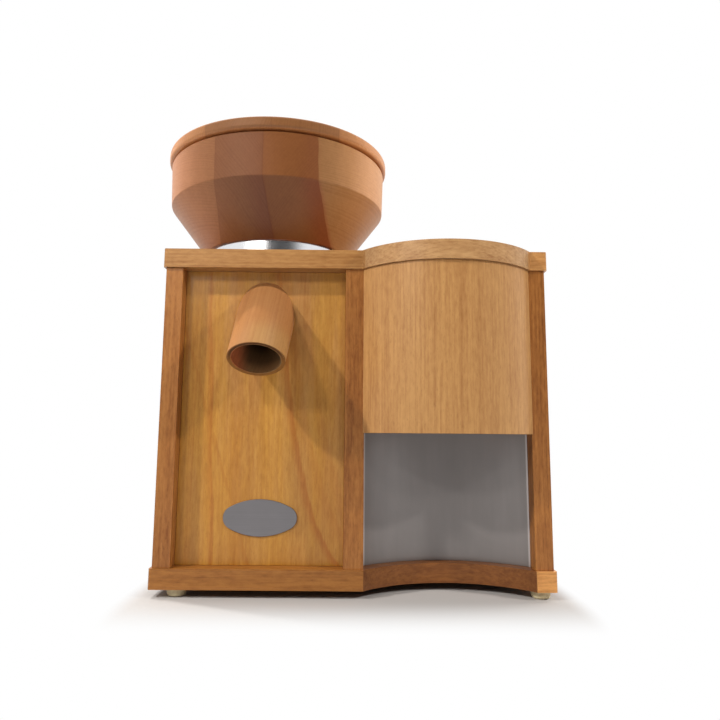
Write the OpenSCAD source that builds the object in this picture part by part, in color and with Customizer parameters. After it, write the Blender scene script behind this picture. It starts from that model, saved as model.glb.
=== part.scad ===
// Electric grain mill and electric flaker side by side in one wooden case.
//
// The left half grinds. Grain runs from the turning hopper through the eye of the upper stone, is
// ground against the runner stone on the motor's shaft, and leaves the chamber by the spout.
// The right half flakes. Grain runs from the feed funnel between two geared rollers and falls
// down a chute into a bowl that stands in the hollow under the bowed front.
//
// X runs to the right, Y to the back and Z up. Pieces are drawn from the left front corner of the
// case at floor level, and place() then moves them so that the origin lies on the floor under the
// middle of the whole outline.

/* [Case] */
// Clear width of each half, between its walls
bay_w = 129; // [126:1:150]
// Depth of the case boards, front to back
case_d = 172; // [170:1:200]
// Height of the walls, between the two boards
wall_h = 230; // [224:1:260]
// Thickness of the base board and the top board
board_t = 15; // [12:0.5:18]
// How far the boards stand out past the walls
lip = 2; // [1:0.5:3]
// Thickness of the two side walls
side_t = 13.5; // [11:0.5:18]
// Thickness of the middle wall
mid_t = 15; // [12:0.5:20]
// Radius of the boards' upright corners
corner_r = 2; // [1:0.5:4]
// Height of the rubber feet
foot_h = 6; // [4:0.5:10]
// Radius of a foot at the case
foot_r = 7.8; // [6:0.2:9]
// Distance of the left feet from the left edge
foot_left = 19; // [12:1:30]
// Distance of the right feet from the right edge
foot_right = 10; // [10:1:30]
// Distance of the feet from the front and back edges
foot_edge = 11; // [10:1:25]

/* [Front and back panels] */
// How far the flat front panel lies behind the walls' front edges
panel_set = 12; // [6:1:16]
// Thickness of the flat front panel
panel_t = 10; // [6:1:12]
// How far the bow stands in front of the straight front
bow_rise = 33; // [28:1:38]
// Thickness of the bowed panel
bow_t = 8; // [5:0.5:9]
// Height of the bowed panel
bow_h = 129; // [124:1:134]
// Length of the bowed panel's tongues between the walls
tongue_l = 8; // [4:1:10]
// Depth of the hollow in the base board's front edge
hollow_d = 29.8; // [24:0.2:34]
// Thickness of the metal bay sheet
sheet_t = 1.5; // [1:0.1:2]
// How far the bay sheet lies behind the hollow edge
sheet_set = 11; // [8:0.5:14]
// Thickness of the bay ceiling
ceiling_t = 8; // [6:1:10]
// How far the ceiling lies above the bowed panel's lower edge
ceiling_rise = 4; // [3:0.5:6]
// Thickness of the back panels
back_t = 8; // [6:1:10]
// Side of the square cleats behind the back panels
cleat_w = 12; // [10:1:14]
// Width of a vent slot
vent_w = 3.6; // [2.5:0.1:3.8]
// Length of a vent slot
vent_l = 60; // [40:2:70]
// Distance between two vent slots
vent_pitch = 9; // [8:0.5:10]
// Number of vent slots in each back panel
vent_count = 7; // [4:1:8]
// Width of the oval badge plate
badge_w = 57; // [40:1:70]
// Height of the oval badge plate
badge_h = 28; // [20:1:36]
// Thickness of the badge plate
badge_t = 1; // [0.6:0.1:1.5]
// Height of the badge plate's middle above the base board
badge_z = 35.6; // [25:0.2:60]

/* [Spout] */
// Angle of the spout below level
spout_tilt = 39.6; // [34:0.2:44]
// Length of the spout, from the panel to the middle of its mouth
spout_l = 58.6; // [48:0.2:66]
// Outer radius of the spout at the panel
spout_r = 23.1; // [22:0.1:25]
// Outer radius of the spout at its mouth
mouth_r = 21.3; // [20.6:0.1:22]
// Inner radius of the spout at its mouth
flare_r = 18; // [16:0.2:19]
// Angle of the mouth above level
mouth_tilt = 24.4; // [15:0.2:30]
// Radius of the flour channel
channel_r = 12.5; // [10:0.5:13]
// Wall of the spout's tenon and of the chamber's outlet
channel_wall = 3.5; // [2.5:0.5:4]
// Height of the flour channel's axis above the chamber floor, at the chamber's wall
outlet_rise = 12.5; // [11:0.5:14]

/* [Hopper] */
// Outer radius of the hopper's rim
rim_r = 97.9; // [92:0.1:104]
// Outer radius of the crease between the band and the cone
crease_r = 96.8; // [90:0.1:103]
// Outer radius of the hopper's foot
hopper_foot_r = 64.8; // [64:0.1:70]
// Height of the band above the crease
band_h = 36.3; // [26:0.1:50]
// Height of the cone below the crease
cone_h = 42.2; // [38:0.1:55]
// Thickness of the band
hopper_wall = 11; // [8:0.5:14]
// Radius of the throat at the bottom of the hopper
throat_r = 20.5; // [20:0.5:22]
// Length of the throat
throat_l = 6; // [5:0.5:7]
// Outer radius of the hopper's lid
lid_r = 100.2; // [99:0.1:106]
// Thickness of the hopper's lid
lid_t = 10.2; // [8:0.2:14]
// Rounding of the lid's edge
lid_round = 3; // [1:0.5:4]
// Height of the shadow gap under the lid
lid_shadow = 2.1; // [1.5:0.1:3]
// Depth of the lid's plug inside the rim
lid_plug = 7; // [5:0.5:10]

/* [Collar and stones] */
// Outer radius of the metal collar
collar_r = 62.5; // [62:0.1:64]
// Height of the metal collar above the top board
collar_h = 15; // [14.5:0.1:18]
// Thickness of the collar's outer ring
collar_wall = 4.5; // [4:0.5:5]
// Thickness of the collar's flange
collar_flange = 4; // [3:0.5:5]
// Wall of the collar's threaded sleeve
sleeve_wall = 6.4; // [5:0.2:6.4]
// Radius of the stone holder's thread
holder_r = 42; // [41.5:0.1:42.2]
// Radius of both stones
stone_r = 38; // [34:0.5:38]
// Thickness of a stone
stone_t = 16; // [14:0.5:17]
// Radius of the eye of both stones
eye_r = 13; // [12:0.5:15]
// Gap between the stones at the finest setting
stone_gap = 0.5; // [0.4:0.1:0.8]
// How far the upper stone rises at the coarsest setting
stone_rise = 2.5; // [2:0.1:2.5]
// Radius of the circle of the driving lugs
lug_ring = 30; // [29:0.5:31]
// Number of furrows in the grinding face of a stone
furrow_count = 10; // [6:1:14]
// Depth of a furrow at the eye
furrow_d = 2.5; // [1:0.5:4]

/* [Grinding chamber] */
// Inner radius of the chamber
chamber_r = 48; // [47:0.5:49]
// Wall of the chamber
chamber_wall = 5; // [4:0.5:5]
// Depth of the chamber below the top board
chamber_d = 32; // [31.5:0.5:34]
// Thickness of the chamber's floor
chamber_floor = 8; // [7:0.5:9]
// Outer radius of the chamber's flange
flange_r = 60; // [58.5:0.5:61]
// Radius of the circle of the collar's screws
collar_screw_ring = 54; // [53.5:0.1:54.2]

/* [Mill motor] */
// Outer radius of the motor
motor_r = 52; // [50:0.5:52.5]
// Height of the stator's core
core_h = 68; // [50:1:74]
// Inner radius of the stator's slots
slot_in = 34; // [33:0.5:36]
// Thickness of the stator's core outside its slots
slot_back = 8.5; // [8.5:0.5:12]
// Width of a stator slot
slot_w = 4.4; // [3.6:0.2:5]
// Number of stator slots
slot_count = 24; // [18:6:24]
// Radius of the rotor
rotor_r = 31; // [28:0.5:31]
// Height of the winding heads past the core
winding_h = 15; // [12:0.5:18]
// Height of the end shields past the core
shield_h = 33; // [30:0.5:36]
// Thickness of an end shield
shield_t = 6; // [4:0.5:8]
// Radius of the motor's shaft
shaft_r = 7.5; // [6:0.5:8]
// Outer radius of the motor's bearings
bearing_r = 17.5; // [16:0.5:19]
// Height of the motor's bearings
bearing_h = 11; // [9:0.5:12]
// Outer radius of the cooling fan
fan_r = 46; // [36:1:52]
// Height of the cooling fan
fan_h = 18; // [12:1:20]
// Number of fan blades
blade_count = 9; // [5:1:12]
// Radius of the run capacitor
capacitor_r = 17.5; // [14:0.5:20]
// Height of the run capacitor
capacitor_h = 70; // [50:1:80]

/* [Flaker] */
// Radius of the rollers
roller_r = 18; // [17:0.2:18.4]
// Length of the rollers
roller_l = 50; // [44:1:52]
// Gap between the rollers
roller_gap = 0.4; // [0.3:0.1:0.8]
// Distance of the gap from the front edge of the case
nip_y = 30; // [29:0.5:32]
// Height of the rollers above the bay ceiling
roller_rise = 41.5; // [41:0.5:50]
// Number of flutes in a roller
flute_count = 30; // [16:2:36]
// Depth of a flute
flute_d = 0.8; // [0.5:0.1:1]
// Radius of the rollers' shafts
roller_shaft_r = 6; // [5:0.5:7]
// Thickness of the frame plates
plate_t = 4; // [3:0.5:5]
// Width of the gears
gear_w = 7; // [5:0.5:8]
// Teeth of each roller gear
roller_teeth = 28; // [24:2:32]
// Teeth of the drive gear
drive_teeth = 50; // [46:2:50]
// Teeth of the pinion
pinion_teeth = 14; // [14:2:16]
// Module of the drive gear and the pinion
drive_module = 1.5; // [1.4:0.05:1.5]
// Radius of the gearmotor
gearmotor_r = 30; // [26:0.5:31]
// Length of the gearmotor without its gear head
gearmotor_l = 64; // [50:1:66]
// Length of the gear head
gearhead_l = 18; // [14:0.5:20]
// Distance between the gearmotor's axis and its output shaft
gearmotor_offset = 12; // [10:0.5:14]
// Radius of the output shaft
output_r = 5; // [4:0.5:6]
// Radius of the feed opening in the top board
feed_r = 37.5; // [34:0.5:39]
// Distance of the feed opening from the front edge
feed_y = 48; // [46:1:60]
// Radius of the feed lid
feed_lid_r = 46; // [43:0.5:47]
// Thickness of the feed lid
feed_lid_t = 8; // [6:0.5:10]
// Thickness of the funnel's and the chute's metal
funnel_t = 1; // [0.8:0.1:1.2]
// Width of the funnel's mouth over the rollers
funnel_mouth = 10; // [8:0.5:10]
// How far the chute carries the flakes forward
chute_shift = 14; // [10:1:16]
// Width of the chute, front to back
chute_w = 20; // [16:1:20]

/* [Switches and cord gland] */
// Height of a switch's middle below the top board
switch_drop = 36; // [30:1:60]
// Distance of a switch's middle from the nearest side wall
switch_side = 24; // [24:1:30]
// Width of a switch frame
switch_w = 24; // [22:1:28]
// Height of a switch frame
switch_h = 34; // [32:1:38]
// Angle between the rocker's two positions
rocker_throw = 20; // [14:1:24]
// Inner radius of the cord gland
gland_r = 3.8; // [3:0.1:4.5]
// Outer radius of the cord gland's body
gland_body_r = 6.5; // [6:0.1:8]
// Height of the cord gland above the base board
gland_z = 30; // [20:1:50]

/* [Clearances] */
// Clearance on radius of a pressed, glued or screwed fit
fit = 0.05; // [0.02:0.01:0.1]
// Clearance on radius of a running fit
run = 0.1; // [0.05:0.01:0.1]
// Clearance between pieces that move past each other
gap = 0.3; // [0.3:0.05:0.5]

/* [Hidden] */
$fn = 96;
over = 1; // how far a cut runs past the face that it opens
reach = 400; // size of a half-space cut, larger than the case

// Heights
floor_z = foot_h + board_t;
under_z = floor_z + wall_h;
top_z = under_z + board_t;

// Walls, from left to right, and the middle of each half
left_x = lip + side_t;
mid_x = left_x + bay_w;
right_x = mid_x + mid_t;
end_x = right_x + bay_w;
case_w = end_x + side_t + lip;
mill_x = left_x + bay_w / 2;
mill_y = case_d / 2;
flake_x = right_x + bay_w / 2;

// Faces of the walls and panels, from front to back
wall_y = lip;
wall_d = case_d - 2 * lip;
panel_y = wall_y + panel_set;
panel_back_y = panel_y + panel_t;
back_y = case_d - 2 * lip;
back_in_y = back_y - back_t;

// Bowed front of the top board and of its panel: one arc through the corners of the bay
bow_half = bay_w / 2 + lip;
bow_r = (pow(bow_half, 2) + pow(bow_rise, 2)) / (2 * bow_rise);
bow_y = bow_r - bow_rise;
bow_out_r = bow_r - lip;
bow_in_r = bow_out_r - bow_t;
bow_z = under_z - bow_h;

// Hollow front of the base board and the bay sheet behind it, on one centre
hollow_half = bay_w / 2;
hollow_r = (pow(hollow_half, 2) + pow(hollow_d, 2)) / (2 * hollow_d);
hollow_y = hollow_d - hollow_r;
sheet_r = hollow_r + sheet_set;
ceiling_z = bow_z + ceiling_rise;
ceiling_top = ceiling_z + ceiling_t;

// Grinding chamber and spout
chamber_z = under_z - chamber_d;
chamber_under = chamber_z - chamber_floor;
spout_z = chamber_z + outlet_rise - tan(spout_tilt) * (mill_y - chamber_r - panel_y);
tenon_r = channel_r + channel_wall;
tenon_gap = 0.5;
tenon_end_y = panel_back_y + tenon_gap;
flange_t = 6;
bolt_hole_d = 6;
seal_h = 4;
mouth_y = panel_y - spout_l * cos(spout_tilt);
mouth_z = spout_z - spout_l * sin(spout_tilt);
flare_l = 20;
flare_end = 10;
mouth_over = 16;
spout_taper = (spout_r - mouth_r) / spout_l;

// Stones and their carriers, from the chamber floor up
carrier_rise = 1.5;
carrier_z = chamber_z + carrier_rise;
carrier_t = 5.5;
runner_z = carrier_z + carrier_t;
upper_z = runner_z + stone_t + stone_gap;
hub_r = eye_r - 0.6;
hub_rise = 6;
hub_top = runner_z + hub_rise;
nut_r = 9;
nut_h = 5;
paddle_t = 4;
furrow_w = 5;
furrow_l = stone_r - eye_r - 4;
holder_skirt = 12.5;
holder_web = 4.5;
holder_z = upper_z + stone_t - holder_skirt;
holder_top = upper_z + stone_t + holder_web;

// Collar and hopper
sleeve_r = holder_r + run + sleeve_wall;
collar_screw_bite = 8;
collar_screw_l = board_t + collar_flange + collar_screw_bite;
collar_head_r = 3.6;
rest_gap = 0.2;
seat_z = top_z + collar_h + rest_gap;
spigot_h = 4.2;
spigot_z = seat_z - spigot_h;
spigot_r = collar_r - collar_wall - gap;
sleeve_top = spigot_z - 1;
crease_z = seat_z + cone_h;
rim_z = crease_z + band_h;
throat_z = spigot_z + throat_l;
bowl_r = rim_r - hopper_wall;
bowl_low_r = bowl_r - 1;
bowl_low_z = crease_z + 3;
feed_tube_r = throat_r - 0.8;
feed_tube_wall = 2.5;
feed_tube_top = throat_z - stone_rise - 1;
lug_w = 8;
lug_l = 10;
lug_top = seat_z - 0.8;
pocket_top = lug_top + stone_rise + 1;
lid_z = rim_z + lid_shadow;
lid_top = lid_z + lid_t;
lid_step_r = rim_r - 4;

// Mill motor, from the chamber floor down
core_top = chamber_under - shield_h;
core_z = core_top - core_h;
motor_z = core_z - shield_h;
bolt_ring = motor_r - 3.3;
bolt_r = 2;
bolt_head_r = 3.6;
bolt_head_h = 3.5;
skirt_in_r = bolt_ring - 3.4;
window_ring = (skirt_in_r + bearing_r) / 2 + 2;
window_r = 5;
air_gap = 0.4;
slot_out = motor_r - slot_back;
slot_liner = 0.2;
end_ring_h = 7;
end_ring_r = rotor_r - 3;
end_ring_w = 7;
seal_r = shaft_r + 4.5;
thread_r = shaft_r - 2;
upper_bearing_z = chamber_under - bearing_h;
lower_bearing_z = motor_z;
ball_ring = (shaft_r + bearing_r) / 2;
ball_r = (bearing_r - shaft_r) * 0.3;
ball_count = 8;
fan_z = motor_z - bolt_head_h - 2.5 - fan_h;
fan_disc_t = 2.5;
fan_hub_r = shaft_r + 5;
blade_t = 2;

// Flaker, seen along the rollers
roller_z = ceiling_top + roller_rise;
roller_pitch = 2 * roller_r + roller_gap;
front_roller_y = nip_y - roller_pitch / 2;
back_roller_y = nip_y + roller_pitch / 2;
roller_module = roller_pitch / roller_teeth;
gear_bore = roller_shaft_r + fit;
output_y = back_roller_y + drive_module * (drive_teeth + pinion_teeth) / 2;
gearmotor_y = output_y + gearmotor_offset;

// Flaker, seen from the front: distances from the middle of the rollers
plate_in = roller_l / 2 + 2;
plate_out = plate_in + plate_t;
roller_gear_x = plate_out + 2;
drive_gear_x = roller_gear_x + gear_w + 2;
frame_h = roller_rise + roller_r + 5.5;
frame_front_y = front_roller_y - roller_shaft_r - 8;
short_plate_y = gearmotor_y - gearmotor_r - 1.2;
long_plate_y = gearmotor_y + gearmotor_r + 3;
bush_wall = 3;
bush_flange = 1.5;
bush_end = 0.5;
shaft_end = 1;
foot_w = 10;
foot_t = 2;
tie_r = 4;
tie_end_r = tie_r - 1;
tie_low_rise = 14;
tie_high_drop = 8;
tie_low_z = ceiling_top + tie_low_rise;
tie_high_z = ceiling_top + frame_h - tie_high_drop;
gearhead_back = plate_in - gearhead_l;
output_depth = gearhead_l - 4;
output_hole_r = output_r + 3;
gearhead_screw_ring = 18;
pinion_hub_r = drive_module * (pinion_teeth + 2) / 2;
pinion_hub_x = plate_out + 1.5;
pinion_neck_r = output_r + 2;
frame_screw_r = 1.8;
frame_screw_l = 8;
frame_head_r = 3.2;

// Feed funnel, its lid, and the chute
feed_rebate_r = feed_r + 4;
feed_lid_round = 2;
funnel_end_z = roller_z + roller_r - 3.5;
funnel_neck = 8;
chute_top = roller_z - roller_r - 3.5;
chute_end = ceiling_z - 2;
chute_half = roller_l / 2 + 1;
chute_front_y = nip_y - chute_shift - chute_w / 2;
chute_flange = 8;

// Screws and small details of the case
screw_r = 2;
screw_head_r = 4;
screw_head_h = 2.4;
base_screw_l = 40;
panel_screw_l = 18;
panel_screw_inset = cleat_w / 2;
foot_round = 1;
badge_end = 0.32; // radius of the oval's ends, as a share of its height
cable_hole_r = 6;
cable_hole_y = case_d * 0.6;
cable_hole_rise = 30;
cable_hole_z = floor_z + cable_hole_rise;
capacitor_x = right_x + bay_w / 3;
capacitor_y = case_d * 0.65;
stud_r = 4;
stud_l = 5;
tab_w = 6;
tab_t = 1;
tab_h = 8;

// Switches
switch_flange = 2;
switch_inset = 3;
switch_depth = 20;
switch_z = under_z - switch_drop;
mill_switch_x = left_x + switch_side;
flake_switch_x = end_x - switch_side;
rocker_side = 4.8;
rocker_end = 5.5;
rocker_w = switch_w - 2 * rocker_side;
rocker_h = switch_h - 2 * rocker_end;
rocker_pivot = 1;
rocker_pin_r = 1.2;
rocker_pin_l = 1.2;
rocker_edge = 4.2; // how far the rocker's ends stand out from its pivot
rocker_middle = 2.4;
rocker_back = 3;
well_w = rocker_w + 2 * gap;
well_h = rocker_h + 3;
well_d = rocker_h / 2 * sin(rocker_throw / 2) + 5;

// Cord gland
gland_x = left_x + switch_side;
gland_flange_t = 3;
gland_dome_h = 4;
gland_inside = 8;
gland_nut_h = 5;

// Middle of the whole outline: the hopper's lid may reach past the case, and the spout stands out
lip_reach = mouth_r / (sin(spout_tilt + mouth_tilt) + spout_taper * cos(spout_tilt + mouth_tilt));
spout_front = mouth_y - lip_reach * cos(mouth_tilt);
outline_left = min(0, mill_x - lid_r);
outline_right = max(case_w, mill_x + lid_r);
outline_front = min(-bow_rise, mill_y - lid_r, spout_front);
outline_back = max(case_d, mill_y + lid_r);
origin_x = (outline_left + outline_right) / 2;
origin_y = (outline_front + outline_back) / 2;

// ---------------------------------------------------------------- helpers

// Moves a piece from the corner of the case to the model's origin.
module place() {
    translate([-origin_x, -origin_y, 0]) children();
}

// Rod along X, from x to x + l.
module rod_x(x, l, r) {
    translate([x, 0, 0]) rotate([0, 90, 0]) cylinder(h = l, r = r);
}

// Upright extrusion of a profile in the Y-Z plane, from x to x + w.
module slab_x(x, w) {
    translate([x, 0, 0]) rotate([90, 0, 90]) linear_extrude(w) children();
}

// Screw pointing along -Z, with the top of its countersunk head at the origin.
module screw(l, r = screw_r, head_r = screw_head_r, head_h = screw_head_h) {
    translate([0, 0, -l]) cylinder(h = l - head_h / 2, r = r);
    translate([0, 0, -head_h]) cylinder(h = head_h, r1 = r, r2 = head_r);
}

// Room for a screw, a fit larger all round.
module screw_room(l, r = screw_r, head_r = screw_head_r, head_h = screw_head_h) {
    screw(l + fit, r + fit, head_r + fit, head_h);
    translate([0, 0, -fit]) cylinder(h = over, r = head_r + fit);
}

// Four places on a circle around the axis of the mill.
module four_around(radius) {
    for (a = [45 : 90 : 315])
        translate([mill_x + radius * cos(a), mill_y + radius * sin(a), 0]) children();
}

// Ring between two radii.
module ring(h, r_out, r_in) {
    difference() {
        cylinder(h = h, r = r_out);
        translate([0, 0, -over]) cylinder(h = h + 2 * over, r = r_in);
    }
}

// Involute of a circle of radius r, at the roll angle a.
function involute(r, a) = r * [cos(a) + a * PI / 180 * sin(a), sin(a) - a * PI / 180 * cos(a)];

// Roll angle at which the involute of a circle of radius r reaches the radius q.
function roll_angle(r, q) = q <= r ? 0 : sqrt(pow(q / r, 2) - 1) * 180 / PI;

// Turns the point p by the angle a.
function turned(p, a) = [p[0] * cos(a) - p[1] * sin(a), p[0] * sin(a) + p[1] * cos(a)];

// Spur gear profile with a tooth on +X, thinned at the pitch circle for backlash.
module gear_profile(teeth, module_size) {
    pitch_r = teeth * module_size / 2;
    base_r = pitch_r * cos(20);
    root_r = pitch_r - 1.2 * module_size;
    tip_r = pitch_r + 0.9 * module_size;
    backlash = 0.05 * module_size;
    flank_steps = 4;
    start_roll = roll_angle(base_r, root_r);
    end_roll = roll_angle(base_r, tip_r);
    pitch_point = involute(base_r, roll_angle(base_r, pitch_r));
    half_tooth = 90 / teeth - backlash / pitch_r * 180 / PI;
    turn = -half_tooth - atan2(pitch_point[1], pitch_point[0]);
    flank = [for (i = [0 : flank_steps])
        turned(involute(base_r, start_roll + (end_roll - start_roll) * i / flank_steps), turn)];
    foot = turned([root_r - module_size / 2, 0], turn);
    low = concat([foot], flank);
    high = [for (i = [len(low) - 1 : -1 : 0]) [low[i][0], -low[i][1]]];
    circle(r = root_r);
    for (i = [0 : teeth - 1])
        rotate(i * 360 / teeth) polygon(concat(low, high));
}

// Board outline with rounded corners, without the bow or the hollow.
module board_plan() {
    translate([corner_r, 0]) square([case_w - 2 * corner_r, case_d]);
    translate([0, corner_r]) square([case_w, case_d - 2 * corner_r]);
    for (x = [corner_r, case_w - corner_r], y = [corner_r, case_d - corner_r])
        translate([x, y]) circle(r = corner_r);
}

// Places of the screws that hold the base board to the walls.
module base_screw_places() {
    for (x = [lip + side_t / 2, mid_x + mid_t / 2, end_x + side_t / 2], y = [0.3, 0.75])
        translate([x, case_d * y, foot_h]) rotate([180, 0, 0]) children();
}

// Places of the screws that hold the two back panels to the cleats.
module panel_screw_places() {
    for (x = [left_x, right_x], side = [0, 1], z = [0, 1])
        translate([
            x + (side == 0 ? panel_screw_inset : bay_w - panel_screw_inset),
            back_y,
            z == 0 ? floor_z + 2 * cleat_w : under_z - 2 * cleat_w
        ]) rotate([-90, 0, 0]) children();
}

// Places of the screws of the roller frame: four through its feet, three into the gear head.
module frame_screw_places() {
    for (y = [front_roller_y, short_plate_y - foot_w])
        translate([flake_x - plate_out - foot_w / 2, y, ceiling_top + foot_t]) children();
    for (y = [front_roller_y, long_plate_y - foot_w])
        translate([flake_x + plate_out + foot_w / 2, y, ceiling_top + foot_t]) children();
    for (a = [-90, 0, 90])
        translate([
            flake_x + plate_out,
            gearmotor_y + gearhead_screw_ring * cos(a),
            roller_z + gearhead_screw_ring * sin(a)
        ]) rotate([0, 90, 0]) children();
}

// Room for the screws of the roller frame.
module frame_screw_rooms() {
    frame_screw_places() screw_room(frame_screw_l, frame_screw_r, frame_head_r, foot_t);
}

// ---------------------------------------------------------------- case

module base_board() {
    color("#94603a") place() difference() {
        translate([0, 0, foot_h]) linear_extrude(board_t) difference() {
            board_plan();
            translate([flake_x, hollow_y]) circle(r = hollow_r);
        }
        base_screw_places() screw_room(base_screw_l);
        translate([capacitor_x, capacitor_y, floor_z - stud_l - over])
            cylinder(h = stud_l + 2 * over, r = stud_r + fit);
    }
}

module top_board() {
    color("#b88454") place() difference() {
        translate([0, 0, under_z]) linear_extrude(board_t) {
            board_plan();
            intersection() {
                translate([flake_x, bow_y]) circle(r = bow_r);
                translate([flake_x - bow_r, -2 * bow_rise]) square([2 * bow_r, 2 * bow_rise + lip]);
            }
        }
        translate([mill_x, mill_y, under_z - over]) cylinder(h = board_t + 2 * over, r = sleeve_r + fit);
        translate([flake_x, feed_y, under_z - over]) cylinder(h = board_t + 2 * over, r = feed_r + fit);
        translate([flake_x, feed_y, top_z - funnel_t]) cylinder(h = funnel_t + over, r = feed_rebate_r + fit);
        four_around(collar_screw_ring) translate([0, 0, under_z - over])
            cylinder(h = board_t + 2 * over, r = screw_r + fit);
    }
}

// Wall from x to x + t, with the holes of its base screws.
module wall(x, t) {
    difference() {
        translate([x, wall_y, floor_z]) cube([t, wall_d, wall_h]);
        base_screw_places() screw_room(base_screw_l);
        children();
    }
}

module left_wall() {
    color("#a56d40") place() wall(lip, side_t);
}

module middle_wall() {
    color("#9a6034") place() wall(mid_x, mid_t)
        translate([0, cable_hole_y, cable_hole_z]) rod_x(mid_x - over, mid_t + 2 * over, cable_hole_r);
}

module right_wall() {
    color("#9b653b") place() wall(end_x, side_t);
}

module front_panel() {
    color("#ac7a3d") place() difference() {
        translate([left_x, panel_y, floor_z]) cube([bay_w, panel_t, wall_h]);
        along_spout() translate([0, 0, -reach / 2]) cylinder(h = reach, r = tenon_r + fit);
    }
}

module bowed_panel() {
    color("#c6965f") place() translate([0, 0, bow_z]) linear_extrude(bow_h) intersection() {
        translate([flake_x, bow_y]) difference() {
            circle(r = bow_out_r);
            circle(r = bow_in_r);
        }
        union() {
            translate([flake_x - bow_r, -2 * bow_rise]) square([2 * bow_r, 2 * bow_rise + wall_y]);
            translate([right_x, 0]) square([bay_w, wall_y + tongue_l]);
        }
    }
}

module bay_sheet() {
    color("#8c8680") place() translate([0, 0, floor_z]) linear_extrude(ceiling_z - floor_z)
    intersection() {
        translate([flake_x, hollow_y]) difference() {
            circle(r = sheet_r + sheet_t);
            circle(r = sheet_r);
        }
        translate([right_x + fit, 0]) square([bay_w - 2 * fit, case_d]);
    }
}

module bay_ceiling() {
    color("#b98a58") place() difference() {
        translate([0, 0, ceiling_z]) linear_extrude(ceiling_t) {
            translate([right_x, wall_y + tongue_l + fit])
                square([bay_w, back_in_y - cleat_w - wall_y - tongue_l - 2 * fit]);
            intersection() {
                translate([flake_x, bow_y]) circle(r = bow_in_r - fit);
                translate([right_x, -bow_rise]) square([bay_w, bow_rise + wall_y + tongue_l + over]);
            }
        }
        translate([flake_x - chute_half - fit, chute_front_y - over, ceiling_z - over])
            cube([2 * (chute_half + fit), chute_shift + chute_w - chute_flange + over, ceiling_t + 2 * over]);
        frame_screw_rooms();
    }
}

// Row of upright vent slots with round ends, around the middle x of a back panel.
module vents(x, z) {
    for (i = [0 : vent_count - 1])
        translate([x + (i - (vent_count - 1) / 2) * vent_pitch, back_y + over, z]) rotate([90, 0, 0])
            linear_extrude(back_t + 2 * over) {
                translate([-vent_w / 2, -vent_l / 2 + vent_w / 2]) square([vent_w, vent_l - vent_w]);
                for (s = [-1, 1])
                    translate([0, s * (vent_l - vent_w) / 2]) circle(r = vent_w / 2);
            }
}

// Back panel of the half that starts at x, with its vents, screw holes and switch opening.
module back_panel(x, switch_x) {
    difference() {
        translate([x, back_in_y, floor_z]) cube([bay_w, back_t, wall_h]);
        vents(x + bay_w / 2, floor_z + wall_h * 0.45);
        panel_screw_places() screw_room(panel_screw_l);
        at_switch(switch_x) translate([0, over, 0]) switch_body(back_t + 2 * over, fit);
    }
}

module mill_back_panel() {
    color("#b98a58") place() difference() {
        back_panel(left_x, mill_switch_x);
        translate([gland_x, back_y + over, floor_z + gland_z]) rotate([90, 0, 0])
            cylinder(h = back_t + 2 * over, r = gland_body_r + fit);
    }
}

module flaker_back_panel() {
    color("#b98a58") place() back_panel(right_x, flake_switch_x);
}

module back_cleats() {
    color("#a87848") place() difference() {
        for (x = [left_x, mid_x - cleat_w, right_x, end_x - cleat_w])
            translate([x, back_in_y - cleat_w, floor_z]) cube([cleat_w, cleat_w, wall_h]);
        panel_screw_places() screw_room(panel_screw_l);
    }
}

module feet() {
    color("#cdbd9c") place()
        for (x = [foot_left, case_w - foot_right], y = [foot_edge, case_d - foot_edge])
            translate([x, y, 0]) {
                translate([0, 0, foot_round])
                    cylinder(h = foot_h - foot_round, r1 = foot_r - foot_round, r2 = foot_r);
                cylinder(h = foot_round, r1 = foot_r - 2 * foot_round, r2 = foot_r - foot_round);
            }
}

module badge_plate() {
    color("#8f8a88") place() translate([mill_x, panel_y, floor_z + badge_z]) rotate([90, 0, 0])
        linear_extrude(badge_t) oval(badge_w, badge_h);
}

// Oval made of four arcs: two round the ends, and two flatter ones above and below.
module oval(w, h) {
    end_r = h * badge_end;
    end_mid = w / 2 - end_r;
    side_r = (pow(end_mid, 2) + pow(h / 2, 2) - pow(end_r, 2)) / (h - 2 * end_r);
    cut_x = end_mid * side_r / (side_r - end_r);
    intersection() {
        translate([0, h / 2 - side_r]) circle(r = side_r);
        translate([0, side_r - h / 2]) circle(r = side_r);
        translate([-cut_x, -h]) square([2 * cut_x, 2 * h]);
    }
    for (s = [-1, 1])
        translate([s * end_mid, 0]) circle(r = end_r);
}

// ---------------------------------------------------------------- spout

// Frame of the spout: its axis runs along +Z out of the front panel's face.
module along_spout() {
    translate([mill_x, panel_y, spout_z]) rotate([90 + spout_tilt, 0, 0]) children();
}

module spout() {
    color("#b97f4c") place() difference() {
        union() {
            difference() {
                along_spout() translate([0, 0, -2 * spout_r])
                    cylinder(
                        h = 2 * spout_r + spout_l + mouth_over,
                        r1 = spout_r + 2 * spout_r * spout_taper,
                        r2 = mouth_r - mouth_over * spout_taper
                    );
                translate([mill_x - reach / 2, panel_y, 0]) cube(reach);
            }
            difference() {
                along_spout() translate([0, 0, -3 * spout_r]) cylinder(h = 3 * spout_r + over, r = tenon_r);
                translate([mill_x - reach / 2, tenon_end_y, 0]) cube(reach);
            }
        }
        translate([mill_x, mouth_y, mouth_z]) rotate([-mouth_tilt, 0, 0])
            translate([-reach / 2, -reach / 2, -reach]) cube(reach);
        along_spout() {
            translate([0, 0, -3 * spout_r - over])
                cylinder(h = 3 * spout_r + spout_l + 2 * mouth_over, r = channel_r);
            translate([0, 0, spout_l - flare_end - flare_l])
                cylinder(h = flare_l, r1 = channel_r, r2 = flare_r);
            translate([0, 0, spout_l - flare_end]) cylinder(h = flare_end + 2 * mouth_over, r = flare_r);
        }
    }
}

// ---------------------------------------------------------------- hopper and collar

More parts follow.
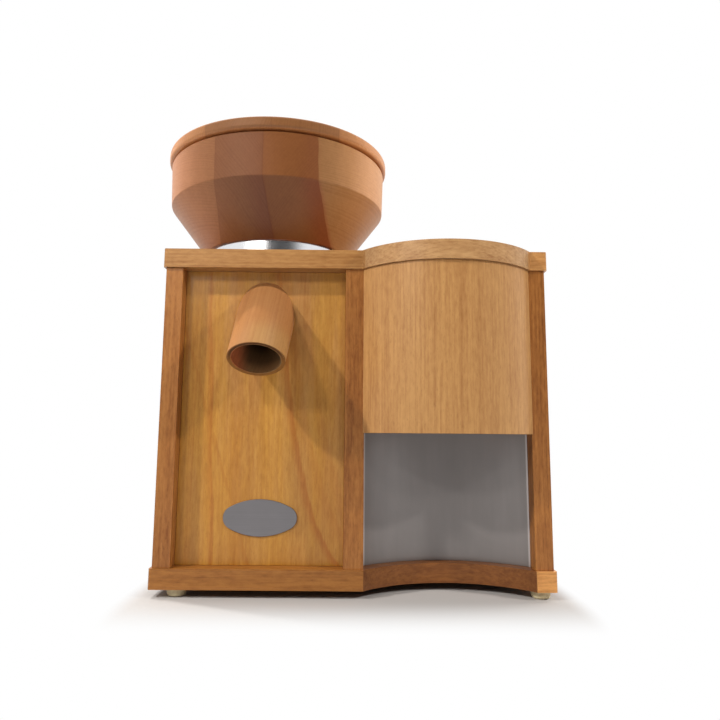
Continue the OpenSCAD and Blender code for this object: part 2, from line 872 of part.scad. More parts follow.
module collar() {
    color("#c8c8ca") place() difference() {
        translate([mill_x, mill_y, 0]) {
            translate([0, 0, top_z]) ring(collar_h, collar_r, collar_r - collar_wall);
            translate([0, 0, top_z]) ring(collar_flange, collar_r - 1, sleeve_r - 1);
            translate([0, 0, under_z]) ring(sleeve_top - under_z, sleeve_r, holder_r + run);
        }
        four_around(collar_screw_ring) translate([0, 0, top_z + collar_flange])
            screw_room(collar_screw_l, screw_r, collar_head_r);
    }
}

module hopper() {
    color("#9c6440") place() translate([mill_x, mill_y, 0]) difference() {
        rotate_extrude() polygon([
            [throat_r, spigot_z], [spigot_r, spigot_z], [spigot_r, seat_z],
            [hopper_foot_r, seat_z], [crease_r, crease_z], [rim_r, rim_z],
            [bowl_r, rim_z], [bowl_low_r, bowl_low_z], [throat_r, throat_z]
        ]);
        for (a = [0, 180])
            rotate(a) translate([lug_ring - lug_w / 2 - gap, -lug_l / 2 - gap, spigot_z - over])
                cube([lug_w + 2 * gap, lug_l + 2 * gap, pocket_top - spigot_z + over]);
    }
}

module hopper_lid() {
    color("#a06c44") place() translate([mill_x, mill_y, 0]) {
        rotate_extrude() {
            translate([0, lid_z]) square([lid_r - lid_round, lid_t]);
            translate([0, lid_z + lid_round]) square([lid_r, lid_t - 2 * lid_round]);
            for (z = [lid_z + lid_round, lid_top - lid_round])
                translate([lid_r - lid_round, z]) circle(r = lid_round);
            translate([0, rim_z + rest_gap]) square([lid_step_r, lid_shadow]);
            translate([0, rim_z - lid_plug]) square([bowl_low_r - gap, lid_plug + over]);
        }
    }
}

// ---------------------------------------------------------------- stones

module stone_holder() {
    color("#d9d4c6") place() translate([mill_x, mill_y, 0]) {
        difference() {
            translate([0, 0, holder_z]) cylinder(h = holder_skirt + holder_web, r = holder_r);
            translate([0, 0, holder_z - over]) cylinder(h = holder_skirt + over, r = stone_r + fit);
            cylinder(h = reach, r = feed_tube_r - feed_tube_wall);
        }
        translate([0, 0, holder_z + holder_skirt])
            ring(feed_tube_top - holder_z - holder_skirt, feed_tube_r, feed_tube_r - feed_tube_wall);
        for (a = [0, 180])
            rotate(a) translate([lug_ring - lug_w / 2, -lug_l / 2, holder_top - holder_web / 2])
                cube([lug_w, lug_l, lug_top - holder_top + holder_web / 2]);
    }
}

// Stone at the mill's axis, with its grinding face up and its furrows running out toward the rim.
module stone() {
    slope = atan2(furrow_d, furrow_l);
    difference() {
        ring(stone_t, stone_r, eye_r);
        for (i = [0 : furrow_count - 1])
            rotate(i * 360 / furrow_count) translate([eye_r, eye_r / 2 - furrow_w, stone_t - furrow_d])
                rotate([0, -slope, 0]) translate([-furrow_w, 0, 0]) cube([stone_r, furrow_w, stone_t]);
    }
}

module upper_stone() {
    color("#dcd8cf") place() translate([mill_x, mill_y, upper_z + stone_t]) rotate([180, 0, 0]) stone();
}

module runner_stone() {
    color("#d4cfc4") place() translate([mill_x, mill_y, runner_z]) stone();
}

module runner_carrier() {
    paddle_l = chamber_r - stone_r - 2;
    color("#b9bcc0") place() translate([mill_x, mill_y, carrier_z]) difference() {
        union() {
            cylinder(h = carrier_t, r = stone_r);
            cylinder(h = hub_top - carrier_z, r = hub_r);
            for (a = [20 : 90 : 290])
                rotate(a) translate([stone_r - 1, -paddle_t / 2, 0])
                    cube([paddle_l + 1, paddle_t, carrier_t]);
        }
        translate([0, 0, -over]) cylinder(h = hub_top - carrier_z + 2 * over, r = shaft_r + fit);
    }
}

module runner_nut() {
    color("#c9cbd0") place() translate([mill_x, mill_y, hub_top]) difference() {
        cylinder(h = nut_h, r = nut_r, $fn = 6);
        translate([0, 0, -over]) cylinder(h = nut_h + 2 * over, r = thread_r + fit);
    }
}

// ---------------------------------------------------------------- grinding chamber

module grinding_chamber() {
    color("#aeb2b6") place() difference() {
        union() {
            translate([mill_x, mill_y, chamber_under])
                cylinder(h = under_z - chamber_under, r = chamber_r + chamber_wall);
            translate([mill_x, mill_y, under_z - flange_t]) cylinder(h = flange_t, r = flange_r);
            difference() {
                along_spout() translate([0, 0, -2 * chamber_r]) cylinder(h = 2 * chamber_r, r = tenon_r);
                translate([mill_x - reach / 2, tenon_end_y + tenon_gap - reach, 0]) cube(reach);
                translate([mill_x - reach / 2, mill_y - chamber_r / 2, 0]) cube(reach);
                translate([mill_x, mill_y, under_z - flange_t]) cylinder(h = reach, r = reach);
                translate([mill_x, mill_y, chamber_under - reach]) cylinder(h = reach, r = motor_r + gap);
            }
        }
        translate([mill_x, mill_y, chamber_z]) cylinder(h = chamber_d + over, r = chamber_r);
        translate([mill_x, mill_y, chamber_under - over])
            cylinder(h = chamber_floor + 2 * over, r = seal_r + fit);
        along_spout() translate([0, 0, -(mill_y - chamber_r / 2 - panel_y) / cos(spout_tilt)])
            cylinder(h = 2 * chamber_r, r = channel_r);
        four_around(collar_screw_ring) translate([0, 0, under_z - 2 * flange_t])
            cylinder(h = 2 * flange_t + over, r = screw_r + fit);
        four_around(bolt_ring) translate([0, 0, chamber_under - over])
            cylinder(h = bolt_hole_d + over, r = bolt_r + fit);
    }
}

module shaft_seal() {
    color("#3a3733") place() translate([mill_x, mill_y, chamber_under]) ring(seal_h, seal_r, shaft_r + gap);
}

// ---------------------------------------------------------------- mill motor

module motor_shaft() {
    color("#a7aaae") place() translate([mill_x, mill_y, fan_z]) {
        cylinder(h = hub_top - fan_z, r = shaft_r);
        cylinder(h = hub_top + nut_h + shaft_end - fan_z, r = thread_r);
    }
}

module rotor() {
    color("#8b8e92") place() translate([mill_x, mill_y, core_z]) {
        ring(core_h, rotor_r, shaft_r + fit);
        for (z = [-end_ring_h, core_h])
            translate([0, 0, z]) ring(end_ring_h, end_ring_r, end_ring_r - end_ring_w);
    }
}

// Slots of the stator, larger than the winding bars by the clearance c.
module slots(c) {
    for (i = [0 : slot_count - 1])
        rotate(i * 360 / slot_count) translate([slot_in - c, -slot_w / 2 - c])
            square([slot_out - slot_in + 2 * c, slot_w + 2 * c]);
}

// Room for the motor's four long bolts, over the height h from z.
module bolt_rooms(z, h) {
    four_around(bolt_ring) translate([0, 0, z - over]) cylinder(h = h + 2 * over, r = bolt_r + fit);
}

module stator_core() {
    color("#6f7276") place() difference() {
        translate([mill_x, mill_y, core_z]) linear_extrude(core_h) difference() {
            circle(r = motor_r);
            circle(r = rotor_r + air_gap);
            slots(slot_liner);
        }
        bolt_rooms(core_z, core_h);
    }
}

module stator_windings() {
    color("#b46a35") place() translate([mill_x, mill_y, core_z]) {
        linear_extrude(core_h) slots(0);
        for (z = [-winding_h, core_h])
            translate([0, 0, z]) ring(winding_h, slot_out + 1, slot_in - 0.5);
    }
}

// End shield: a disc with a skirt to the core and a seat for the bearing, opening along +Z.
module shield() {
    difference() {
        union() {
            ring(shield_h, motor_r, skirt_in_r);
            ring(shield_t, motor_r, bearing_r + fit);
            ring(bearing_h, bearing_r + 4, bearing_r + fit);
        }
        for (a = [22.5 : 45 : 360])
            rotate(a) translate([window_ring, 0, -over]) cylinder(h = shield_t + 2 * over, r = window_r);
    }
}

module upper_shield() {
    color("#9da1a5") place() difference() {
        translate([mill_x, mill_y, chamber_under]) mirror([0, 0, 1]) shield();
        bolt_rooms(core_top, shield_h);
    }
}

module lower_shield() {
    color("#9da1a5") place() difference() {
        translate([mill_x, mill_y, motor_z]) shield();
        bolt_rooms(motor_z, shield_h);
    }
}

// Ring of both motor bearings between two radii, with a groove for the balls.
module bearing_rings(r_out, r_in) {
    for (z = [lower_bearing_z, upper_bearing_z])
        translate([mill_x, mill_y, z]) difference() {
            ring(bearing_h, r_out, r_in);
            translate([0, 0, bearing_h / 2]) rotate_extrude() translate([ball_ring, 0])
                circle(r = ball_r + run);
        }
}

module bearing_outer_rings() {
    color("#b5b8bc") place() bearing_rings(bearing_r, ball_ring + ball_r * 0.6);
}

module bearing_inner_rings() {
    color("#b5b8bc") place() bearing_rings(ball_ring - ball_r * 0.6, shaft_r + fit);
}

module bearing_balls() {
    color("#d2d4d8") place()
        for (z = [lower_bearing_z, upper_bearing_z], a = [0 : 360 / ball_count : 359])
            translate([mill_x + ball_ring * cos(a), mill_y + ball_ring * sin(a), z + bearing_h / 2])
                sphere(r = ball_r);
}

module cooling_fan() {
    color("#45484c") place() translate([mill_x, mill_y, fan_z]) difference() {
        union() {
            cylinder(h = fan_h, r = fan_hub_r);
            translate([0, 0, fan_h - fan_disc_t]) cylinder(h = fan_disc_t, r = fan_r);
            for (a = [0 : 360 / blade_count : 359])
                rotate(a) translate([fan_hub_r - 1, -blade_t / 2, 0])
                    cube([fan_r - fan_hub_r, blade_t, fan_h - 1]);
        }
        translate([0, 0, -over]) cylinder(h = fan_h + 2 * over, r = shaft_r + fit);
    }
}

module motor_bolts() {
    color("#8e9195") place() four_around(bolt_ring) translate([0, 0, motor_z - bolt_head_h]) {
        cylinder(h = bolt_head_h, r = bolt_head_r, $fn = 6);
        cylinder(h = chamber_under + bolt_hole_d - 1 - motor_z + bolt_head_h, r = bolt_r);
    }
}

module run_capacitor() {
    color("#d7d9dc") place() translate([capacitor_x, capacitor_y, floor_z]) {
        cylinder(h = capacitor_h, r = capacitor_r);
        translate([0, 0, -stud_l]) cylinder(h = stud_l + over, r = stud_r);
        for (s = [-1, 1])
            translate([s * tab_w - tab_w / 2, -tab_t / 2, capacitor_h - over])
                cube([tab_w, tab_t, tab_h + over]);
    }
}

// ---------------------------------------------------------------- switches and gland

// Frame of a rocker switch: origin at the middle of its face on the back panel, Y out of the case.
module at_switch(x) {
    translate([x, back_y, switch_z]) children();
}

// Body of a switch frame behind its flange, of the given depth, larger by the clearance c.
module switch_body(depth, c) {
    translate([-switch_w / 2 + switch_inset - c, -depth, -switch_h / 2 + switch_inset - c])
        cube([switch_w - 2 * switch_inset + 2 * c, depth, switch_h - 2 * switch_inset + 2 * c]);
}

// Frame of a switch with the well for its rocker and the holes for the rocker's pins.
module switch_frame(x) {
    pin_room = rocker_w / 2 + rocker_pin_l + gap;
    at_switch(x) difference() {
        union() {
            translate([-switch_w / 2, 0, -switch_h / 2]) cube([switch_w, switch_flange, switch_h]);
            translate([0, over, 0]) switch_body(switch_depth + over, 0);
        }
        translate([-well_w / 2, -well_d, -well_h / 2]) cube([well_w, well_d + switch_flange + over, well_h]);
        translate([0, -rocker_pivot, 0]) rod_x(-pin_room, 2 * pin_room, rocker_pin_r + run);
    }
}

// Rocker in its off position, with its upper half pressed in.
module rocker(x) {
    half_h = rocker_h / 2;
    pin_end = rocker_w / 2 + rocker_pin_l;
    at_switch(x) translate([0, -rocker_pivot, 0]) rotate([rocker_throw / 2, 0, 0]) {
        slab_x(-rocker_w / 2, rocker_w) polygon([
            [rocker_edge, -half_h], [rocker_middle, 0], [rocker_edge, half_h], [-rocker_back / 5, half_h],
            [-rocker_back, rocker_back], [-rocker_back, -rocker_back], [-rocker_back / 5, -half_h]
        ]);
        rod_x(-pin_end, 2 * pin_end, rocker_pin_r);
    }
}

module mill_switch_frame() {
    color("#26272a") place() switch_frame(mill_switch_x);
}

module mill_rocker() {
    color("#1b1c1f") place() rocker(mill_switch_x);
}

module flaker_switch_frame() {
    color("#26272a") place() switch_frame(flake_switch_x);
}

module flaker_rocker() {
    color("#1b1c1f") place() rocker(flake_switch_x);
}

module cord_gland() {
    inside = back_t + gland_inside;
    color("#1d1e20") place() translate([gland_x, back_y, floor_z + gland_z]) rotate([-90, 0, 0])
        difference() {
            union() {
                cylinder(h = gland_flange_t, r = gland_body_r + 3);
                translate([0, 0, gland_flange_t])
                    cylinder(h = gland_dome_h, r1 = gland_body_r + 1.5, r2 = gland_body_r - 0.5);
                translate([0, 0, -inside]) cylinder(h = inside + over, r = gland_body_r);
                translate([0, 0, -back_t - gland_nut_h])
                    cylinder(h = gland_nut_h, r = gland_body_r + 3, $fn = 6);
            }
            translate([0, 0, -inside - over])
                cylinder(h = inside + gland_flange_t + gland_dome_h + 2 * over, r = gland_r);
        }
}

// ---------------------------------------------------------------- flaker

// Funnel body: a round opening in the top board drawn down to a slot over the rollers.
module funnel_body(c) {
    hull() {
        translate([flake_x, feed_y, top_z - funnel_neck]) cylinder(h = funnel_neck, r = feed_r - c, $fn = 48);
        translate([flake_x - roller_l / 2 + c, nip_y - funnel_mouth / 2 - funnel_t + c, funnel_end_z])
            cube([roller_l - 2 * c, funnel_mouth + 2 * funnel_t - 2 * c, 2]);
    }
}

module feed_funnel() {
    color("#b7babd") place() {
        difference() {
            funnel_body(0);
            funnel_body(funnel_t);
            translate([flake_x - roller_l / 2 + funnel_t, nip_y - funnel_mouth / 2, funnel_end_z - over])
                cube([roller_l - 2 * funnel_t, funnel_mouth, 2 * over]);
            translate([flake_x, feed_y, top_z - funnel_t - over])
                cylinder(h = funnel_t + 2 * over, r = feed_r - funnel_t, $fn = 48);
        }
        translate([flake_x, feed_y, top_z - funnel_t]) ring(funnel_t, feed_rebate_r, feed_r - funnel_t);
    }
}

module feed_lid() {
    color("#b88454") place() translate([flake_x, feed_y, top_z]) rotate_extrude() {
        translate([0, rest_gap]) square([feed_lid_r - feed_lid_round, feed_lid_t - rest_gap]);
        translate([0, rest_gap]) square([feed_lid_r, feed_lid_t - feed_lid_round - rest_gap]);
        translate([feed_lid_r - feed_lid_round, feed_lid_t - feed_lid_round]) circle(r = feed_lid_round);
        translate([0, 2 - funnel_neck]) square([feed_r - funnel_t - gap, funnel_neck]);
    }
}

// Fluted roller with its shaft, along X at the height of the rollers.
module roller(y, end) {
    translate([flake_x, y, roller_z]) {
        slab_x(-roller_l / 2, roller_l) difference() {
            circle(r = roller_r);
            for (i = [0 : flute_count - 1])
                rotate((i + 0.5) * 360 / flute_count) translate([roller_r, 0])
                    rotate(45) square(flute_d * sqrt(2), center = true);
        }
        rod_x(-plate_out - shaft_end, plate_out + shaft_end + end, roller_shaft_r);
    }
}

module front_roller() {
    color("#b9bcbf") place() roller(front_roller_y, roller_gear_x + gear_w + shaft_end);
}

module back_roller() {
    color("#b9bcbf") place() roller(back_roller_y, drive_gear_x + gear_w + shaft_end);
}

// Flanged bushes of both rollers in both frame plates.
module roller_bushes() {
    bush_l = bush_flange + plate_t + bush_end;
    color("#b08a4a") place()
        for (y = [front_roller_y, back_roller_y], s = [0, 1])
            translate([flake_x, y, roller_z]) mirror([s, 0, 0]) difference() {
                union() {
                    rod_x(plate_in - bush_flange, bush_flange, roller_shaft_r + bush_wall + 2);
                    rod_x(plate_in - bush_flange, bush_l, roller_shaft_r + bush_wall);
                }
                rod_x(plate_in - bush_flange - over, bush_l + 2 * over, roller_shaft_r + run);
            }
}

// Frame plate profile in the Y-Z plane, up to the depth y_end.
module plate_profile(y_end) {
    difference() {
        translate([frame_front_y, ceiling_top]) square([y_end - frame_front_y, frame_h]);
        for (y = [front_roller_y, back_roller_y])
            translate([y, roller_z]) circle(r = roller_shaft_r + bush_wall + fit);
        tie_places() circle(r = tie_end_r + fit);
        children();
    }
}

// Places of the tie bars in the Y-Z plane.
module tie_places() {
    for (p = [
        [frame_front_y + 2 * tie_r, tie_low_z],
        [short_plate_y - 2 * tie_r, tie_low_z],
        [short_plate_y - 2 * tie_r, tie_high_z]
    ])
        translate(p) children();
}

module left_frame_plate() {
    color("#a9adb1") place() difference() {
        translate([flake_x, 0, 0]) {
            slab_x(-plate_out, plate_t) plate_profile(short_plate_y);
            translate([-plate_out - foot_w, frame_front_y, ceiling_top])
                cube([foot_w + over, short_plate_y - frame_front_y, foot_t]);
        }
        frame_screw_rooms();
    }
}

module right_frame_plate() {
    color("#a9adb1") place() difference() {
        translate([flake_x, 0, 0]) {
            slab_x(plate_in, plate_t) plate_profile(long_plate_y)
                translate([output_y, roller_z]) circle(r = output_hole_r);
            translate([plate_out - over, frame_front_y, ceiling_top])
                cube([foot_w + over, long_plate_y - frame_front_y, foot_t]);
        }
        frame_screw_rooms();
    }
}

module tie_bars() {
    color("#a0a4a8") place() {
        slab_x(flake_x - plate_in, 2 * plate_in) tie_places() circle(r = tie_r);
        slab_x(flake_x - plate_out, 2 * plate_out) tie_places() circle(r = tie_end_r);
    }
}

// Slanted duct under the rollers, smaller by c on each side.
module chute_body(c) {
    hull() {
        translate([flake_x - chute_half + c, nip_y - chute_w / 2 + c, chute_top - 1])
            cube([2 * (chute_half - c), chute_w - 2 * c, 1 + c]);
        translate([flake_x - chute_half + c, chute_front_y + c, chute_end - c])
            cube([2 * (chute_half - c), chute_w - 2 * c, 1 + c]);
    }
}

module flake_chute() {
    color("#b7babd") place() difference() {
        union() {
            chute_body(0);
            translate([flake_x - chute_half, chute_front_y - chute_flange, ceiling_top])
                cube([2 * chute_half, chute_shift + chute_w + chute_flange, funnel_t]);
        }
        chute_body(funnel_t);
    }
}

// Gear along X from x, with a bore, and a tooth toward the front that is turned by the given angle.
module gear_x(x, y, teeth, module_size, bore, turn = 0) {
    translate([flake_x, y, roller_z]) slab_x(x, gear_w) difference() {
        rotate(180 + turn) gear_profile(teeth, module_size);
        circle(r = bore);
    }
}

module front_gear() {
    color("#c2a56a") place()
        gear_x(roller_gear_x, front_roller_y, roller_teeth, roller_module, gear_bore, 180 / roller_teeth);
}

module back_gear() {
    color("#c2a56a") place()
        gear_x(roller_gear_x, back_roller_y, roller_teeth, roller_module, gear_bore);
}

module drive_gear() {
    color("#e3ddca") place()
        gear_x(drive_gear_x, back_roller_y, drive_teeth, drive_module, gear_bore);
}

// Output shaft with its pinion, and a hub behind the pinion.
module pinion_shaft() {
    end = drive_gear_x + gear_w + shaft_end;
    color("#a7aaae") place() {
        gear_x(drive_gear_x, output_y, pinion_teeth, drive_module, output_r / 2, 180 / pinion_teeth);
        translate([flake_x, output_y, roller_z]) {
            rod_x(plate_in - output_depth, end - plate_in + output_depth, output_r);
            rod_x(pinion_hub_x, drive_gear_x - gap - pinion_hub_x, pinion_hub_r);
            rod_x(pinion_hub_x, drive_gear_x + over - pinion_hub_x, pinion_neck_r);
        }
    }
}

module flaker_gearmotor() {
    color("#5d6165") place() difference() {
        translate([flake_x, gearmotor_y, roller_z]) {
            rod_x(gearhead_back - gearmotor_l, gearmotor_l + over, gearmotor_r);
            rod_x(gearhead_back, gearhead_l, gearmotor_r + 1);
        }
        translate([flake_x, output_y, roller_z])
            rod_x(plate_in - output_depth - 1, output_depth + 1 + over, output_r + run);
        frame_screw_rooms();
    }
}

// ---------------------------------------------------------------- screws

module base_screws() {
    color("#b5a45c") place() base_screw_places() screw(base_screw_l);
}

module panel_screws() {
    color("#b5a45c") place() panel_screw_places() screw(panel_screw_l);
}

module collar_screws() {
    color("#b3b6ba") place() four_around(collar_screw_ring) translate([0, 0, top_z + collar_flange])
        screw(collar_screw_l, screw_r, collar_head_r);
}

module frame_screws() {
    color("#b3b6ba") place() frame_screw_places() screw(frame_screw_l, frame_screw_r, frame_head_r, foot_t);
}

base_board();
top_board();
left_wall();
middle_wall();
right_wall();
front_panel();
bowed_panel();
bay_sheet();
bay_ceiling();
mill_back_panel();
flaker_back_panel();
back_cleats();
feet();
badge_plate();
spout();
collar();
hopper();
hopper_lid();
stone_holder();
upper_stone();
runner_stone();
runner_carrier();
runner_nut();
grinding_chamber();
shaft_seal();
motor_shaft();
rotor();
stator_core();
stator_windings();
upper_shield();
lower_shield();
bearing_outer_rings();
bearing_inner_rings();
bearing_balls();
cooling_fan();
motor_bolts();
run_capacitor();
mill_switch_frame();
mill_rocker();
flaker_switch_frame();
flaker_rocker();
cord_gland();
feed_funnel();
feed_lid();
front_roller();
back_roller();
roller_bushes();
left_frame_plate();
right_frame_plate();
tie_bars();
flake_chute();
front_gear();
back_gear();
drive_gear();
pinion_shaft();
flaker_gearmotor();
base_screws();
panel_screws();
collar_screws();
frame_screws();
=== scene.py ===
"""A wooden household grain mill with a flaker: finishes, eased edges, screws, studio and camera."""
import logging
import math
from collections.abc import Callable, Sequence
from dataclasses import dataclass
from enum import Enum

import bmesh
import bpy
from mathutils import Matrix, Vector


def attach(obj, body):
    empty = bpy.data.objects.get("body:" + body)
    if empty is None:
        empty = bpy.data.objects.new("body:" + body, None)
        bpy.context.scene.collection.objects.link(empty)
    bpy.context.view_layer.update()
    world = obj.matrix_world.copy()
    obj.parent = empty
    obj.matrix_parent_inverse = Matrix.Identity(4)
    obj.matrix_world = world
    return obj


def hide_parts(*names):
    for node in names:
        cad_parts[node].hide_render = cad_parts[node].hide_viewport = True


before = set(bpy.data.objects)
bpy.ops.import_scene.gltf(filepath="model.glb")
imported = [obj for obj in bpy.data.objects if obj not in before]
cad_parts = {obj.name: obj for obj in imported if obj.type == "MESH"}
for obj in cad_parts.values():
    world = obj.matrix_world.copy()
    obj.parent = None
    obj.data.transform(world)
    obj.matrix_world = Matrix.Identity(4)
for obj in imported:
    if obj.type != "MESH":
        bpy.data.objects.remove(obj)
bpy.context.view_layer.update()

LOG = logging.getLogger("grain_mill")

Colour = tuple[float, float, float]
Point = tuple[float, float, float]
Setting = str | int | float | bool

WHITE: Colour = (1.0, 1.0, 1.0)
MM = 0.001
# Where the middle of the whole outline lies from the case's front left corner, in metres.
ORIGIN_X = 0.1419
ORIGIN_Y = 0.066892


def place(x: float, y: float, z: float) -> Vector:
    """Turns millimetres from the case's front left corner, on the floor, into a place."""
    return Vector((x * MM - ORIGIN_X, y * MM - ORIGIN_Y, z * MM))


MILL_AXIS: Point = tuple(place(80, 86, 0))
# The two sides of the bay, and the two upright edges of its metal sheet.
BAY_SIDES = place(159.5, 0, 0).x, place(288.5, 0, 0).x
SHEET_SIDES = place(160.1, 0, 0).x, place(287.9, 0, 0).x
FLOOR_OF_CASE = place(0, 0, 21).z
SPOUT_MOUTH: Point = tuple(place(80, -31.15, 174.2))
# Height of the crease between the hopper's band and its cone, in metres.
CREASE = 0.3234


class Grain(Enum):
    """The way that the fibres of a board or the lines of a brushed sheet run."""

    ALONG_X = "X"
    ALONG_Y = "Y"
    ALONG_Z = "Z"


# ---- shader tools


def operation(name: str) -> Callable[..., "Value"]:
    """Makes a method that adds a Math node with its own value first."""

    def method(self: "Value", *others: "Value | float") -> "Value":
        """Adds the node."""
        return self.graph.math(name, self, *others)

    return method


class Value:
    """A number, colour or vector of a material, with operators that add its nodes.

    Fract is the part after the decimal point, root the square root, and size the value without
    its sign. Most and least are the larger and the smaller of two values.
    """

    def __init__(self, graph: "Graph", socket: bpy.types.NodeSocket) -> None:
        """Wraps one output socket of a graph's node."""
        self.graph = graph
        self.socket = socket

    __add__ = __radd__ = operation("ADD")
    __sub__ = operation("SUBTRACT")
    __mul__ = __rmul__ = operation("MULTIPLY")
    __truediv__ = operation("DIVIDE")
    fract = operation("FRACT")
    root = operation("SQRT")
    size = operation("ABSOLUTE")
    most = operation("MAXIMUM")
    least = operation("MINIMUM")

    def __rsub__(self, other: float) -> "Value":
        """Takes this value away from a number."""
        return self.graph.math("SUBTRACT", other, self)

    def __rtruediv__(self, other: float) -> "Value":
        """Divides a number by this value."""
        return self.graph.math("DIVIDE", other, self)

    def ramp(self, low: float, high: float, start: float = 0.0, end: float = 1.0) -> "Value":
        """A smooth step between two levels.

        Args:
            low: Level at which the step starts.
            high: Level at which it ends.
            start: Result below the step.
            end: Result above it.

        Returns:
            The stepped value.
        """
        return self.graph.add(
            "ShaderNodeMapRange",
            {"interpolation_type": "SMOOTHSTEP"},
            {"Value": self, "From Min": low, "From Max": high, "To Min": start, "To Max": end},
        )


Input = Value | float | Sequence[float]


class Graph:
    """A node tree of shaders, built from expressions.

    Attributes:
        here: The place on the piece, in metres.
        facing: The direction that the surface faces, seen from the piece.
        around: The direction into the surroundings.
    """

    def __init__(
        self,
        holder: bpy.types.Material | bpy.types.World,
        output: str = "ShaderNodeOutputMaterial",
    ) -> None:
        """Empties the tree of a material or world and adds its output and coordinates."""
        holder.use_nodes = True
        self.tree = holder.node_tree
        self.tree.nodes.clear()
        self.output = self.tree.nodes.new(output)
        outputs = self.tree.nodes.new("ShaderNodeTexCoord").outputs
        self.here, self.facing, self.around = (
            Value(self, outputs[kind]) for kind in ("Object", "Normal", "Generated")
        )

    def add(
        self,
        kind: str,
        settings: dict[str, Setting] | None = None,
        inputs: dict[str | int, Input] | None = None,
        output: str | int = 0,
    ) -> Value:
        """Adds a node.

        Args:
            kind: Type of the node.
            settings: Properties that are set before the inputs.
            inputs: Values or links by socket name or number.
            output: Socket that the result comes from.

        Returns:
            The chosen output.
        """
        node = self.tree.nodes.new(kind)
        for key, setting in (settings or {}).items():
            setattr(node, key, setting)
        for key, value in (inputs or {}).items():
            if isinstance(value, Value):
                self.tree.links.new(value.socket, node.inputs[key])
            else:
                node.inputs[key].default_value = value
        return Value(self, node.outputs[output])

    def close(self, shader: Value) -> None:
        """Joins a shader to the output."""
        self.tree.links.new(shader.socket, self.output.inputs["Surface"])

    def math(self, operation: str, *values: Input) -> Value:
        """Adds a Math node for numbers."""
        return self.add("ShaderNodeMath", {"operation": operation}, dict(enumerate(values)))

    def compound(self, operation: str, first: Input, second: Input) -> Value:
        """Adds a Math node for vectors."""
        output = "Value" if operation == "DOT_PRODUCT" else "Vector"
        settings = {"operation": operation}
        return self.add("ShaderNodeVectorMath", settings, {0: first, 1: second}, output)

    def vector(self, x: Input, y: Input, z: Input) -> Value:
        """Joins three numbers to a vector."""
        return self.add("ShaderNodeCombineXYZ", None, {0: x, 1: y, 2: z})

    def split(self, vector: Value) -> tuple[Value, Value, Value]:
        """Takes a vector apart."""
        first = self.add("ShaderNodeSeparateXYZ", None, {0: vector})
        x, y, z = first.socket.node.outputs
        return Value(self, x), Value(self, y), Value(self, z)

    def ray(self, kind: str) -> Value:
        """Whether a ray is of a kind."""
        return self.add("ShaderNodeLightPath", None, None, kind)

    def noise(
        self, vector: Value, detail: float = 2.0, roughness: float = 0.5, scale: float = 1.0
    ) -> Value:
        """Adds soft noise between 0 and 1 over a vector."""
        return self.add(
            "ShaderNodeTexNoise",
            {"noise_dimensions": "3D"},
            {"Vector": vector, "Scale": scale, "Detail": detail, "Roughness": roughness},
        )

    def mix(self, kind: str, amount: Input, first: Input, second: Input) -> Value:
        """Adds a Mix node for colours, vectors or numbers."""
        first_input, output = {"RGBA": (6, 2), "VECTOR": (4, 1), "FLOAT": (2, 0)}[kind]
        inputs = {0: amount, first_input: first, first_input + 1: second}
        return self.add("ShaderNodeMix", {"data_type": kind}, inputs, output)

    def blend(self, amount: Input, first: Value | Colour, second: Value | Colour) -> Value:
        """Mixes two colours."""
        pair = (c if isinstance(c, Value) else (*c, 1.0) for c in (first, second))
        return self.mix("RGBA", amount, *pair)

    def shade(self, colour: Value, amount: Input) -> Value:
        """Multiplies a colour by a grey of that brightness."""
        return self.compound("MULTIPLY", colour, self.vector(amount, amount, amount))

    def bump(self, height: Value, depth: float, strength: float) -> Value:
        """Adds a relief of a depth in metres."""
        inputs = {"Height": height, "Distance": depth, "Strength": strength}
        return self.add("ShaderNodeBump", None, inputs)


def from_mill_axis(x: Value, y: Value) -> Value:
    """The distance from the upright axis of the mill."""
    a, b = x - MILL_AXIS[0], y - MILL_AXIS[1]
    return (a * a + b * b).root()


# ---- finishes


class Finish:
    """A look that a piece can be given."""

    def surface(self, graph: Graph) -> dict[str, Input]:
        """The inputs of the surface shader."""
        raise NotImplementedError

    def material(self, name: str) -> bpy.types.Material:
        """Makes the finish as a material of that name."""
        made = bpy.data.materials.new(name)
        graph = Graph(made)
        graph.close(graph.add("ShaderNodeBsdfPrincipled", None, self.surface(graph)))
        return made


# Layers of the wood's figure: waves per metre along and across the fibres, detail and roughness.
SWAY = (3.2, 11.0, 2.0, 0.50)
FIBRES = (26.0, 640.0, 3.0, 0.62)
COARSE_FIBRES = (6.0, 190.0, 2.0, 0.55)
SHORT_FIBRES = (120.0, 430.0, 2.0, 0.60)
DRIFT = (7.0, 26.0, 3.0, 0.55)
RAYS = (330.0, 1900.0, 1.0, 0.50)
# Depth of the pores, in metres.
PORES = 0.00005


